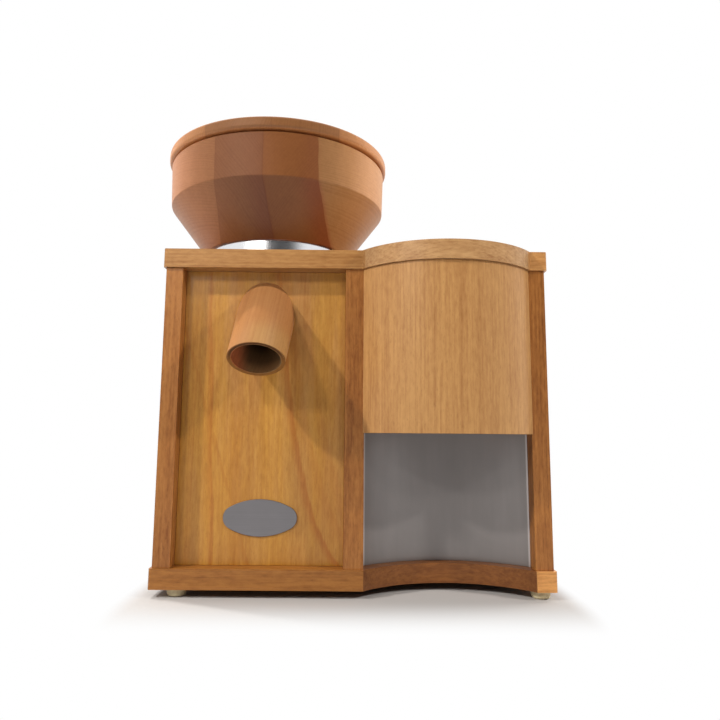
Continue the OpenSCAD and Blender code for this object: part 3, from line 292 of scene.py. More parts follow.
@dataclass(frozen=True)
class Wood(Finish):
    """Oiled beech, cut from a trunk whose heart lies beside the board.

    Attributes:
        light: Colour of the early wood.
        dark: Colour of the late wood and of the fibres.
        grain: The way the fibres run.
        heart: Where the heart of the trunk lies across the grain, in metres.
        shift: Where in the trunk the board was cut.
        ring: Width of a year's growth, in metres.
        rings: How clearly the years show.
        wander: How far the rings stray from a circle, in metres.
        streaks: How clearly the fibres show.
        flecks: How clearly the short dark rays show.
        drift: How far the colour wanders over the board.
        end_shade: Brightness of the end grain.
        gloss: How much oil lies on top.
        polish: Roughness of the oil.
        lean: Turn of the fibres about the three axes, in radians.
    """

    light: Colour
    dark: Colour
    grain: Grain = Grain.ALONG_X
    heart: tuple[float, float] = (0.10, -0.06)
    shift: Point = (0.0, 0.0, 0.0)
    ring: float = 0.0026
    rings: float = 0.3
    wander: float = 0.010
    streaks: float = 0.45
    flecks: float = 0.35
    drift: float = 0.5
    end_shade: float = 0.72
    gloss: float = 0.30
    polish: float = 0.30
    lean: Point = (0.0, 0.0, 0.0)

    def order(self, x: Value, y: Value, z: Value) -> tuple[Value, Value, Value]:
        """Puts the axis that the fibres follow first."""
        orders = {Grain.ALONG_X: (x, y, z), Grain.ALONG_Y: (y, x, z), Grain.ALONG_Z: (z, x, y)}
        return orders[self.grain]

    def frame(self, graph: Graph) -> tuple[Value, Value, Value]:
        """The place along the grain and the two places across it."""
        inputs = {0: graph.here, 1: self.shift, 2: self.lean}
        return self.order(*graph.split(graph.add("ShaderNodeMapping", None, inputs)))

    def pattern(
        self, graph: Graph, along: Value, across: Value, deep: Value
    ) -> tuple[Value, Value, Value]:
        """Draws the figure of the wood.

        Args:
            graph: The material's graph.
            along: Place along the grain.
            across: Place across it.
            deep: The other place across it.

        Returns:
            How dark the wood is, its flecks, and its fine fibres.
        """

        def layer(length: float, width: float, detail: float, roughness: float) -> Value:
            """Noise that is drawn out along the fibres."""
            stretched = graph.vector(along * length, across * width, deep * width)
            return graph.noise(stretched, detail, roughness)

        off_x = across - self.heart[0]
        off_y = deep - self.heart[1]
        sway = (layer(*SWAY) - 0.5) * (2.0 * self.wander)
        year = ((off_x * off_x + off_y * off_y).root() + sway) / self.ring
        uneven = graph.noise(graph.vector(year * 0.37, 0.3, 0.7), 1.0, 0.5)
        phase = (year + uneven * 2.6).fract()
        late = phase.ramp(0.25, 0.92) * phase.ramp(0.93, 1.0, 1.0, 0.0)
        strong = graph.noise(graph.vector(year * 0.21, 1.7, 4.1), 2.0, 0.6).ramp(0.35, 0.68)
        fibre = layer(*FIBRES)
        fleck = layer(*RAYS).ramp(0.60, 0.72)
        tone = (
            late * (strong * self.rings + 0.35 * self.rings)
            + (fibre - 0.5) * self.streaks
            + (layer(*COARSE_FIBRES) - 0.5) * (self.streaks * 0.8)
            + (layer(*SHORT_FIBRES) - 0.5) * self.streaks
            + (layer(*DRIFT) - 0.5) * self.drift
            + 0.33
        )
        return tone, fleck, fibre

    def oiled(
        self, graph: Graph, tone: Value, fleck: Value, fibre: Value, tint: Value | None = None
    ) -> dict[str, Input]:
        """Paints the figure and gives the surface its oil.

        Args:
            graph: The material's graph.
            tone: How dark the wood is.
            fleck: Where the short dark rays lie.
            fibre: The fine fibres.
            tint: Colour that multiplies the wood, if any.

        Returns:
            The inputs of the surface shader.
        """
        end = self.order(*graph.split(graph.facing))[0].size().ramp(0.45, 0.95)
        rays = fleck * (1.0 - end) * (self.flecks * 0.42)
        colour = graph.blend(tone, self.light, self.dark)
        colour = graph.shade(colour, 1.0 - rays - end * (1.0 - self.end_shade))
        if tint is not None:
            colour = graph.compound("MULTIPLY", colour, tint)
        return {
            "Base Color": colour,
            "Roughness": 0.46 + (fibre - 0.5) * 0.16 + fleck * 0.10 + end * 0.10,
            "Normal": graph.bump(fibre - fleck * 0.6, PORES, 0.45),
            "Specular IOR Level": 0.22,
            "Coat Weight": self.gloss,
            "Coat Roughness": self.polish,
        }

    def surface(self, graph: Graph) -> dict[str, Input]:
        """The inputs of the surface shader."""
        return self.oiled(graph, *self.pattern(graph, *self.frame(graph)))


@dataclass(frozen=True)
class GluedWood(Wood):
    """Beech glued up from upright-sided boards side by side, each with its own figure.

    Attributes:
        joints: Place in X of each glue joint, in metres.
        slants: How far each joint moves to the right per metre of depth.
        tints: Colour of each board, one more than there are joints.
        turns: Lean of each board's rings, in radians.
        seams: How dark each joint's line is.
        blush: How red the wood is on the left of each joint.
        blush_tint: Colour that this red multiplies the wood by.
        under: Brightness of the wood below the hopper's crease, a painted shade on the
            downward-facing cone.
        waver: How far the joints stray from straight, in metres.
        middle: Place that the joints are counted from.
    """

    joints: tuple[float, ...] = ()
    slants: tuple[float, ...] = ()
    tints: tuple[Colour, ...] = ()
    turns: tuple[float, ...] = ()
    seams: tuple[float, ...] = ()
    blush: tuple[float, ...] = ()
    blush_tint: Colour = (0.90, 0.62, 0.66)
    under: float = 1.0
    waver: float = 0.0
    middle: Point = (0.0, 0.0, 0.0)

    def surface(self, graph: Graph) -> dict[str, Input]:
        """The inputs of the surface shader, with a fine dark line at each joint."""
        centred = graph.compound("SUBTRACT", graph.here, self.middle)
        x, y, z = graph.split(centred)
        if self.waver:
            x = x + (graph.noise(centred, 2.0, 0.5, 45.0) - 0.5) * (2.0 * self.waver)
        boards = [
            graph.add("ShaderNodeMapping", None, {
                0: centred, 1: (0.31 * i, 0.17 * i, 0.05 * i), 2: (0.0, turn, 0.0),
            })
            for i, turn in enumerate(self.turns)
        ]
        chosen = boards[0]
        tint = graph.vector(*self.tints[0])
        seam: Value | None = None
        for i, (joint, slant) in enumerate(zip(self.joints, self.slants)):
            distance = x - y * slant - joint
            side = distance.ramp(-0.0003, 0.0003)
            chosen = graph.mix("VECTOR", side, chosen, boards[i + 1])
            tint = graph.mix("VECTOR", side, tint, graph.vector(*self.tints[i + 1]))
            if self.blush:
                red = distance.ramp(-0.020, -0.003)
                red = red * distance.ramp(-0.0005, 0.0030, self.blush[i], 0.0)
                red = red * z.ramp(CREASE - 0.003, CREASE + 0.003, 1.0, 0.30)
                redder = graph.compound("MULTIPLY", tint, self.blush_tint)
                tint = graph.mix("VECTOR", red, tint, redder)
            line = distance.size().ramp(0.0, 0.0011, self.seams[i], 0.0)
            seam = line if seam is None else seam.most(line)
        # Painted shade: the wood below the crease, on the downward-facing cone, is darkened.
        tint = graph.shade(tint, z.ramp(CREASE - 0.0008, CREASE + 0.0008, self.under, 1.0))
        tone, fleck, fibre = self.pattern(graph, *self.order(*graph.split(chosen)))
        if seam is not None:
            tone = tone + seam
        return self.oiled(graph, tone, fleck, fibre, tint)


@dataclass(frozen=True)
class Vein:
    """One reddish vein of a flat-sawn board.

    Attributes:
        at: Place in X at the foot of the board, in metres.
        slope: How far it moves to the right per metre of height.
        bend: How strongly it bends away near the foot, in square metres.
        width: Width of its soft side, in metres.
        dark: How dark it is.
    """

    at: float
    slope: float
    bend: float
    width: float
    dark: float


@dataclass(frozen=True)
class Veined(Wood):
    """A wide flat-sawn board, with broad reddish veins that run down it.

    Attributes:
        veins: The board's veins.
        vein_tint: Colour that a vein multiplies the wood by.
        low: Colour that multiplies the wood at the foot.
        high: Colour that multiplies it at the top.
        pale: Colour that the pale patches multiply it by.
    """

    veins: tuple[Vein, ...] = ()
    vein_tint: Colour = (0.86, 0.68, 0.62)
    low: Colour = (1.0, 0.99, 0.92)
    high: Colour = (1.0, 1.04, 1.28)
    pale: Colour = (0.97, 1.05, 1.95)

    def surface(self, graph: Graph) -> dict[str, Input]:
        """The inputs of the surface shader."""
        tone, fleck, fibre = self.pattern(graph, *self.frame(graph))
        x, _, z = graph.split(graph.here)
        rise = z - FLOOR_OF_CASE
        sway = (graph.noise(graph.vector(x * 9.0, 0.4, z * 16.0), 2.0, 0.5) - 0.5) * 0.005
        comb = (graph.noise(graph.vector(x * 420.0, 0.2, z * 22.0), 2.0, 0.6) - 0.5) * 0.004
        depth: Value | None = None
        for vein in self.veins:
            path = rise * vein.slope + vein.bend / (rise + 0.06) + vein.at
            off = x + sway + comb - path
            band = off.ramp(-vein.width, 0.0) * off.ramp(0.0, vein.width * 0.30, 1.0, 0.0)
            band = band * vein.dark
            depth = band if depth is None else depth.most(band)
        tint = graph.blend(depth or 0.0, WHITE, self.vein_tint)
        patch = graph.noise(graph.vector(x * 55.0, 0.7, z * 5.0), 3.0, 0.62).ramp(0.36, 0.64)
        plain = graph.blend(rise.ramp(0.0, 0.24), self.low, self.high)
        wash = graph.blend(patch * rise.ramp(0.02, 0.24, 0.35, 1.0), plain, self.pale)
        return self.oiled(graph, tone, fleck, fibre, graph.compound("MULTIPLY", tint, wash))


@dataclass(frozen=True)
class Bored(Wood):
    """Wood with a bore, with painted shade in the bore and on its end face, and a painted lit patch
    beside the mouth.

    Attributes:
        mouth: Middle of the bore's mouth.
        run: Direction in which the bore leaves the piece.
        plane: Direction that the mouth faces.
        bore: Radius inside which the surface belongs to the bore, in metres.
        inner: Colour that the bore multiplies the wood by on its left, painted light on its lit
            wall.
        core: Colour that it multiplies the wood by elsewhere, under the bore's painted shade.
        upper_lip_shade: Colour that the end face multiplies the wood by above the bore, a painted
            shade.
        lower_lip_shade: Colour that it multiplies the wood by below the bore, a painted shade.
        painted_lit_patch: Colour of a painted lit patch beside the mouth, which multiplies the
            rest.
    """

    mouth: Point = (0.0, 0.0, 0.0)
    run: Point = (0.0, -1.0, 0.0)
    plane: Point = (0.0, -1.0, 0.0)
    bore: float = 0.0185
    inner: Colour = (1.40, 0.95, 1.05)
    core: Colour = (1.0, 1.25, 1.5)
    upper_lip_shade: Colour = (0.22, 0.15, 0.12)
    lower_lip_shade: Colour = (0.80, 0.76, 0.50)
    painted_lit_patch: Colour = (1.08, 1.28, 1.32)

    def surface(self, graph: Graph) -> dict[str, Input]:
        """The inputs of the surface shader."""
        tone, fleck, fibre = self.pattern(graph, *self.frame(graph))
        offset = graph.compound("SUBTRACT", graph.here, self.mouth)
        along = graph.compound("DOT_PRODUCT", offset, self.run)
        whole = graph.compound("DOT_PRODUCT", offset, offset)
        depth = 0.0 - graph.compound("DOT_PRODUCT", offset, self.plane)
        radius = (whole - along * along).most(0.0).root()
        x, y, _ = graph.split(offset)
        inside = radius.ramp(self.bore - 0.0004, self.bore + 0.0004, 1.0, 0.0)
        # Painted shade: the bore darkens with depth, least on its lit left wall.
        deep = depth.ramp(-0.001, 0.012) * x.ramp(-0.0175, -0.0080)
        deep = deep * depth.ramp(0.004, 0.05, 1.0, 1.35)
        # Painted light: a pale lit patch near the mouth, towards its right.
        beside = x.ramp(-0.014, 0.006) * depth.ramp(0.012, 0.034, 1.0, 0.0)
        outer = graph.blend(beside, WHITE, self.painted_lit_patch)
        # Painted light on the bore's lit left wall, and the tint of its shaded core.
        painted_bore_tint = graph.blend(x.ramp(-0.0165, -0.0060), self.inner, self.core)
        tint = graph.blend(inside, outer, painted_bore_tint)
        # Applies the bore's painted shade.
        tint = graph.shade(tint, 1.0 - (inside * deep * 0.66).least(0.86))
        # Painted shade on the end face: dark above the bore, and shadow-coloured below it.
        low = y.ramp(-0.010, 0.004)
        lip = depth.size().ramp(0.0014, 0.0018, 1.0, 0.0) * (1.0 - inside)
        lip = lip * radius.ramp(0.0200, 0.0206, 1.0, 0.0).most(low)
        tint = graph.blend(lip, tint, graph.blend(low, self.upper_lip_shade, self.lower_lip_shade))
        return self.oiled(graph, tone, fleck, fibre, tint)


@dataclass(frozen=True)
class Metal(Finish):
    """Bare or plated metal with the marks of its making.

    Attributes:
        colour: Colour of the metal.
        roughness: Middle roughness.
        spread: How far the roughness wanders.
        brush: Direction of brushed lines, or none.
        turned: Whether it was turned, about the mill's upright axis.
        lines: Lines per metre across the brushing.
        relief: Depth of the lines, in metres.
        metallic: Share of metal in the look.
        mottle: How far the colour wanders.
        cut: Places in X of two cut edges, each with a painted highlight along it, or none.
    """

    colour: Colour
    roughness: float = 0.32
    spread: float = 0.12
    brush: Grain | None = None
    turned: bool = False
    lines: float = 1800.0
    relief: float = 0.00002
    metallic: float = 1.0
    mottle: float = 0.10
    cut: tuple[float, float] | None = None

    def marks(self, graph: Graph) -> Value:
        """Draws brushed lines, turned rings, or the grain of a casting."""
        if self.turned:
            x, y, z = graph.split(graph.here)
            rings = graph.vector(from_mill_axis(x, y) * self.lines, z * self.lines, 0.5)
            return graph.noise(rings, 3.0, 0.6)
        if self.brush is not None:
            lengthwise = 14.0
            pace = [lengthwise if axis == self.brush.value else self.lines for axis in "XYZ"]
            places = [v * step for v, step in zip(graph.split(graph.here), pace)]
            return graph.noise(graph.vector(*places), 3.0, 0.65)
        return graph.noise(graph.here, 4.0, 0.6, self.lines)

    def surface(self, graph: Graph) -> dict[str, Input]:
        """The inputs of the surface shader."""
        marks = self.marks(graph)
        cloud = graph.noise(graph.here, 3.0, 0.55, 38.0)
        smear = graph.noise(graph.here, 2.0, 0.5, 170.0)
        tone = 1.0 - (cloud - 0.5) * self.mottle - (marks - 0.5) * (self.mottle * 1.2)
        # Painted highlight: the base colour brightens along each cut edge.
        if self.cut is not None:
            x, _, _ = graph.split(graph.here)
            edge = (x - self.cut[0]).size().least((x - self.cut[1]).size())
            tone = tone + edge.ramp(0.0003, 0.0009, 1.0, 0.0)
        uneven = (marks - 0.5) * self.spread + (smear - 0.5) * (self.spread * 0.6)
        return {
            "Base Color": graph.shade(graph.vector(*self.colour), tone),
            "Roughness": uneven + self.roughness,
            "Metallic": self.metallic,
            "Normal": graph.bump(marks, self.relief, 0.6),
        }


@dataclass(frozen=True)
class Moulded(Finish):
    """Moulded plastic or rubber with a fine spark-eroded grain.

    Attributes:
        colour: Colour of the plastic.
        roughness: Middle roughness.
        texture: Grains per metre.
        relief: Depth of the grain, in metres.
        dust: How much pale dust lies on it.
        specular: Strength of the gloss.
    """

    colour: Colour
    roughness: float = 0.45
    texture: float = 2600.0
    relief: float = 0.00003
    dust: float = 0.06
    specular: float = 0.45

    def surface(self, graph: Graph) -> dict[str, Input]:
        """The inputs of the surface shader."""
        grain = graph.noise(graph.here, 3.0, 0.6, self.texture)
        cloud = graph.noise(graph.here, 3.0, 0.6, 60.0)
        pale = tuple(min(1.0, c + 0.25) for c in self.colour)
        colour = graph.blend(cloud.ramp(0.45, 0.8) * self.dust, self.colour, pale)
        return {
            "Base Color": graph.shade(colour, 1.0 - (grain - 0.5) * 0.14),
            "Roughness": (grain - 0.5) * 0.14 + (cloud - 0.5) * 0.12 + self.roughness,
            "Normal": graph.bump(grain, self.relief, 0.5),
            "Specular IOR Level": self.specular,
        }


@dataclass(frozen=True)
class Millstone(Finish):
    """Grit bound to a stone: pale corundum grains with darker ones among them.

    Attributes:
        colour: Colour of the bond.
        dark: Colour of the dark grains.
        pale: Colour of the corundum.
        grit: Grains per metre.
    """

    colour: Colour
    dark: Colour = (0.20, 0.19, 0.18)
    pale: Colour = (0.86, 0.84, 0.80)
    grit: float = 900.0

    def surface(self, graph: Graph) -> dict[str, Input]:
        """The inputs of the surface shader."""
        cells, shades = (
            graph.add(
                "ShaderNodeTexVoronoi", {"feature": "F1"},
                {"Vector": graph.here, "Scale": self.grit}, output,
            )
            for output in ("Distance", "Color")
        )
        first, second, _ = graph.split(shades)
        cloud = graph.noise(graph.here, 4.0, 0.6, 90.0)
        colour = graph.blend(first.ramp(0.7, 0.95), self.colour, self.dark)
        colour = graph.blend(second.ramp(0.75, 0.95), colour, self.pale)
        return {
            "Base Color": graph.shade(colour, 1.0 - (cloud - 0.5) * 0.35),
            "Roughness": (cloud - 0.5) * 0.2 + 0.82,
            "Normal": graph.bump((1.0 - cells) + cloud * 0.5, 0.0003, 0.8),
            "Specular IOR Level": 0.3,
        }


@dataclass(frozen=True)
class Winding(Finish):
    """Enamelled copper wire laid round the mill's axis.

    Attributes:
        colour: Colour of the enamelled wire.
        wire: Wires per metre.
    """

    colour: Colour
    wire: float = 1150.0

    def surface(self, graph: Graph) -> dict[str, Input]:
        """The inputs of the surface shader."""
        x, y, z = graph.split(graph.here)
        cloud = graph.noise(graph.here, 3.0, 0.6, 110.0)
        strand = ((from_mill_axis(x, y) + z * 0.9 + cloud * 0.002) * self.wire).fract()
        hump = strand * (1.0 - strand) * 4.0
        shaded = tuple(c * 0.55 for c in self.colour)
        colour = graph.blend(cloud.ramp(0.3, 0.7), self.colour, shaded)
        return {
            # Painted shade: the colour darkens into the grooves between the wires.
            "Base Color": graph.shade(colour, hump * 0.6 + 0.4),
            "Roughness": 0.42 - hump * 0.14,
            "Metallic": 0.85,
            "Normal": graph.bump(hump, 0.0003, 0.7),
            "Coat Weight": 0.4,
            "Coat Roughness": 0.2,
        }


# ---- mesh tools

# Vertices nearer than the first are one, and edges shorter than the second go, in metres.
SAME_PLACE = 2e-6
NO_LENGTH = 1e-6
# Faces that differ by less than this angle are one, in degrees.
FLAT = 0.4
# Smallest angle that counts as an edge on a board, and on a turned piece, in degrees.
BOARD_EDGE = 32.0
TURNED_EDGE = 24.0
# A round screw head has more corners than this, and faces squarely the way it is driven from.
FEW_CORNERS = 11
SQUARE = 0.999


class Form:
    """A piece in the making: a merged copy of a solid that is shaped and then handed over."""

    def __init__(self, node: str) -> None:
        """Copies a solid and merges its triangles into whole faces."""
        self.node = node
        self.mesh = bmesh.new()
        self.mesh.from_mesh(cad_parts[node].data)
        bmesh.ops.remove_doubles(self.mesh, verts=self.mesh.verts, dist=SAME_PLACE)
        bmesh.ops.dissolve_degenerate(self.mesh, dist=NO_LENGTH, edges=self.mesh.edges)
        bmesh.ops.dissolve_limit(
            self.mesh, angle_limit=math.radians(FLAT), use_dissolve_boundaries=False,
            verts=self.mesh.verts, edges=self.mesh.edges, delimit={"NORMAL"},
        )

    def ease(self, width: float, angle: float = BOARD_EDGE) -> "Form":
        """Rounds every edge sharper than an angle, in degrees, by a width in metres."""
        limit = math.radians(angle)
        edges = [e for e in self.mesh.edges if e.is_manifold and e.calc_face_angle(0.0) > limit]
        bmesh.ops.bevel(
            self.mesh, geom=edges, offset=width, offset_type="OFFSET", segments=2,
            profile=0.5, affect="EDGES", clamp_overlap=True, material=-1,
        )
        return self

    def recess(
        self, facing: Vector, reach: float = 0.0023, arm: float = 0.00042,
        depth: float = 0.0013, taper: float = 0.45,
    ) -> "Form":
        """Sinks a cross recess into every round face that looks one way.

        Args:
            facing: Direction that the screw heads look.
            reach: Distance from the middle to the end of an arm, in metres.
            arm: Half the width of an arm, in metres.
            depth: Depth of the recess, in metres.
            taper: Size of the recess's floor as a share of its mouth.

        Returns:
            The same form.
        """
        aside = facing.orthogonal().normalized()
        above = facing.cross(aside)
        quarter = [Vector(corner) for corner in ((reach, -arm), (reach, arm), (arm, arm))]
        turns = [Matrix.Rotation(math.radians(90 * turn), 2) for turn in range(4)]
        outline = [turn @ corner for turn in turns for corner in quarter]

        def ring(centre: Vector, share: float) -> list[bmesh.types.BMEdge]:
            """Draws the cross at a place and a share of its size."""
            corners = [
                self.mesh.verts.new(centre + (aside * c.x + above * c.y) * share) for c in outline
            ]
            pairs = zip(corners, corners[1:] + corners[:1])
            return [self.mesh.edges.new(pair) for pair in pairs]

        heads = [
            f for f in self.mesh.faces
            if f.normal.dot(facing) > SQUARE and len(f.verts) > FEW_CORNERS
        ]
        for head in heads:
            middle = head.calc_center_median()
            rim = list(head.edges)
            self.mesh.faces.remove(head)
            mouth, foot = ring(middle, 1.0), ring(middle - facing * depth, taper)
            bmesh.ops.triangle_fill(self.mesh, edges=rim + mouth, use_beauty=True, normal=facing)
            bmesh.ops.bridge_loops(self.mesh, edges=mouth + foot)
            bmesh.ops.edgeloop_fill(self.mesh, edges=foot)
        bmesh.ops.recalc_face_normals(self.mesh, faces=self.mesh.faces)
        return self

    def swap(
        self, material: bpy.types.Material, body: str = "case", sharp: float = 50.0
    ) -> None:
        """Hands the form over as an object that takes its solid's place.

        Args:
            material: Finish of the piece.
            body: Body that the piece moves with.
            sharp: Angle from which an edge stays sharp, in degrees.
        """
        node = self.node
        data = bpy.data.meshes.new(node + "_finished")
        self.mesh.to_mesh(data)
        self.mesh.free()
        data.shade_smooth()
        data.set_sharp_from_angle(angle=math.radians(sharp))
        data.materials.append(material)
        made = bpy.data.objects.new(node + "_finished", data)
        bpy.context.scene.collection.objects.link(made)
        even = made.modifiers.new("even_shading", "WEIGHTED_NORMAL")
        even.mode = "FACE_AREA"
        even.weight = 50
        even.keep_sharp = True
        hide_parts(node)
        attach(made, body)
        LOG.info("%s: %d faces", made.name, len(data.polygons))


def dress(name: str, finish: Finish, *nodes: str) -> None:
    """Gives solids whose shape is already right a finish under a name."""
    material = finish.material(name)
    for node in nodes:
        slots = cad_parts[node].data.materials
        if not slots:
            slots.append(material)
        for i in range(len(slots)):
            slots[i] = material
        LOG.info("%s: %s", node, name)


# ---- sub-assemblies


@dataclass
class Case:
    """The beech case: boards, walls, panels and their backs.

    Attributes:
        board_ease: Rounding of the boards' edges, in metres.
        post_ease: Rounding of the walls' edges, in metres.
        panel_ease: Rounding of the panels' edges, in metres.
        posts: Colour of each wall's early wood.
    """

    board_ease: float = 0.0017
    post_ease: float = 0.0009
    panel_ease: float = 0.0005
    posts: tuple[Colour, ...] = (
        (0.360, 0.148, 0.038), (0.380, 0.155, 0.038), (0.395, 0.158, 0.038),
    )

    def boards(self) -> None:
        """Makes the base board and the top board, whose fibres run from side to side."""
        flush, turns = (0.0, 0.0), (0.0, 0.02, 0.05)
        boards = {
            "top_board": GluedWood(
                light=(0.43, 0.205, 0.058), dark=(0.26, 0.100, 0.023), heart=(-0.02, 0.20),
                rings=0.22, wander=0.006, streaks=1.2, flecks=0.40,
                # Section tints: the right end's lighter tint is painted light from the right side;
                # the middle, over the bay, is lighter and less warm.
                tints=((0.97, 1.04, 1.22), (1.14, 1.39, 2.15), (1.28, 1.36, 1.65)),
                joints=BAY_SIDES, slants=flush, turns=turns, seams=flush,
            ),
            "base_board": GluedWood(
                light=(0.36, 0.148, 0.034), dark=(0.20, 0.068, 0.013), heart=(0.05, 0.12),
                rings=0.12, wander=0.007, streaks=1.35, flecks=0.40,
                # Section tints: the middle is painted shade on the hollow under the bay, the right
                # end painted light from the right side.
                tints=((0.98, 0.97, 0.92), (0.68, 0.60, 0.62), (1.95, 2.25, 3.0)),
                joints=BAY_SIDES, slants=flush, turns=turns, seams=flush,
            ),
        }
        for node, wood in boards.items():
            Form(node).ease(self.board_ease).swap(wood.material(node + "_beech"))

    def walls(self) -> None:
        """Makes the three walls, whose fibres run upright."""
        hearts = {
            "left_wall": (0.03, 0.18), "middle_wall": (-0.02, -0.20), "right_wall": (0.05, 0.16),
        }
        for i, (node, heart) in enumerate(hearts.items()):
            wood = Wood(
                light=self.posts[i], dark=(0.20, 0.064, 0.013), grain=Grain.ALONG_Z, heart=heart,
                shift=(0.13 * i, 0.21 * i, 0.3 * i), rings=0.22, wander=0.006, streaks=1.35,
                flecks=0.45, drift=0.9,
            )
            Form(node).ease(self.post_ease).swap(wood.material(node + "_beech"))

    def veins(self) -> tuple[Vein, ...]:
        """The veins of the flat panel."""
        rows = (
            (43.6, -0.036, 0.0, 0.0055, 0.80),
            (93.0, -0.053, 0.00289, 0.0075, 1.00),
            (62.0, -0.010, 0.0, 0.0160, 0.30),
            (71.5, -0.300, 0.0, 0.0040, 0.45),
            (97.0, -0.060, 0.0040, 0.0140, 0.42),
            (112.0, -0.060, 0.0036, 0.0120, 0.35),
            (25.0, 0.010, 0.0, 0.0050, 0.30),
        )
        return tuple(Vein(place(at, 0, 0).x, *rest) for at, *rest in rows)

    def panels(self) -> None:
        """Makes the flat panel behind the spout and the two vented back panels."""
        flat = Veined(
            light=(0.51, 0.252, 0.043), dark=(0.325, 0.125, 0.019), grain=Grain.ALONG_Z,
            heart=(0.10, 0.35), shift=(0.0, 0.0, 0.11), ring=0.0085, rings=0.16, wander=0.012,
            streaks=0.85, flecks=0.30, drift=0.85, gloss=0.35, polish=0.18, veins=self.veins(),
        )
        Form("front_panel").ease(self.panel_ease).swap(flat.material("flat_panel_beech"))
        for i, node in enumerate(("mill_back_panel", "flaker_back_panel")):
            back = Wood(
                light=(0.50, 0.235, 0.085), dark=(0.30, 0.115, 0.038), grain=Grain.ALONG_Z,
                heart=(0.04 - 0.1 * i, 0.19), shift=(0.4 * i, 0.2, 0.6 + 0.2 * i),
                ring=0.004, rings=0.4,
            )
            Form(node).ease(self.panel_ease).swap(back.material(node + "_beech"))

    def inside(self) -> None:
        """Dresses the ceiling of the bay and the cleats that carry the back panels."""
        light, dark = (0.50, 0.245, 0.095), (0.30, 0.120, 0.042)
        dress("ceiling_beech", Wood(light, dark, Grain.ALONG_X, shift=(0.7, 0.1, 0.4)),
              "bay_ceiling")
        dress("cleat_beech", Wood(light, dark, Grain.ALONG_Z, shift=(0.2, 0.5, 0.4)),
              "back_cleats")

    def build(self) -> None:
        """Makes the whole case."""
        self.boards()
        self.walls()
        self.panels()
        self.inside()


@dataclass
class FlakerFront:
    """The bowed panel over the bay with its metal sheet.

    Attributes:
        ease: Rounding of the bowed panel's edges, in metres.
        sheet_ease: Rounding of the sheet's edges, in metres.
    """

    ease: float = 0.0006
    sheet_ease: float = 0.00025

    def build(self) -> None:
        """Makes the bowed panel and the sheet."""
        bowed = Wood(
            light=(0.490, 0.264, 0.094), dark=(0.322, 0.145, 0.048), grain=Grain.ALONG_Z,
            heart=(0.45, -0.55), shift=(0.0, 0.0, 0.33), ring=0.0030, rings=0.24, wander=0.004,
            streaks=1.10, flecks=0.35, drift=0.70,
        )
        Form("bowed_panel").ease(self.ease).swap(bowed.material("bowed_panel_beech"))
        sheet = Metal(
            colour=(0.235, 0.215, 0.207), roughness=0.35, spread=0.05, brush=Grain.ALONG_Z,
            # cut: painted highlights along the sheet's two cut edges.
            lines=120.0, relief=0.000006, metallic=0.50, mottle=0.12, cut=SHEET_SIDES,
        )
        Form("bay_sheet").ease(self.sheet_ease).swap(sheet.material("bay_sheet_steel"))


@dataclass
class Spout:
    """The turned wooden spout.

    Attributes:
        ease: Rounding of its lip, in metres.
        tilt: Angle of the spout below level, in degrees.
        mouth_tilt: Angle of its mouth above level, in degrees.
    """

    ease: float = 0.0009
    tilt: float = 39.6
    mouth_tilt: float = 24.4

    def build(self) -> None:
        """Makes the spout."""
        tilt, face = math.radians(self.tilt), math.radians(self.mouth_tilt)
        wood = Bored(
            light=(0.45, 0.212, 0.078), dark=(0.30, 0.118, 0.038), grain=Grain.ALONG_Z,
            heart=(-0.05, 0.03), shift=(0.2, 0.4, 0.1), ring=0.0030, rings=0.30, wander=0.004,
            streaks=0.40, flecks=0.3, drift=0.35, lean=(math.radians(90.0 - self.tilt), 0.0, 0.0),
            mouth=SPOUT_MOUTH, run=(0.0, -math.cos(tilt), -math.sin(tilt)),
            plane=(0.0, -math.sin(face), -math.cos(face)),
        )
        Form("spout").ease(self.ease).swap(wood.material("spout_beech"))


@dataclass
class Badge:
    """The bare oval plate.

    Attributes:
        ease: Rounding of its rim, in metres.
    """

    ease: float = 0.0003

    def build(self) -> None:
        """Makes the plate."""
        plate = Metal(
            colour=(0.26, 0.245, 0.25), roughness=0.40, spread=0.14, brush=Grain.ALONG_X,
            lines=2200.0, relief=0.00001, mottle=0.12,
        )
        Form("badge_plate").ease(self.ease).swap(plate.material("badge_aluminium"))


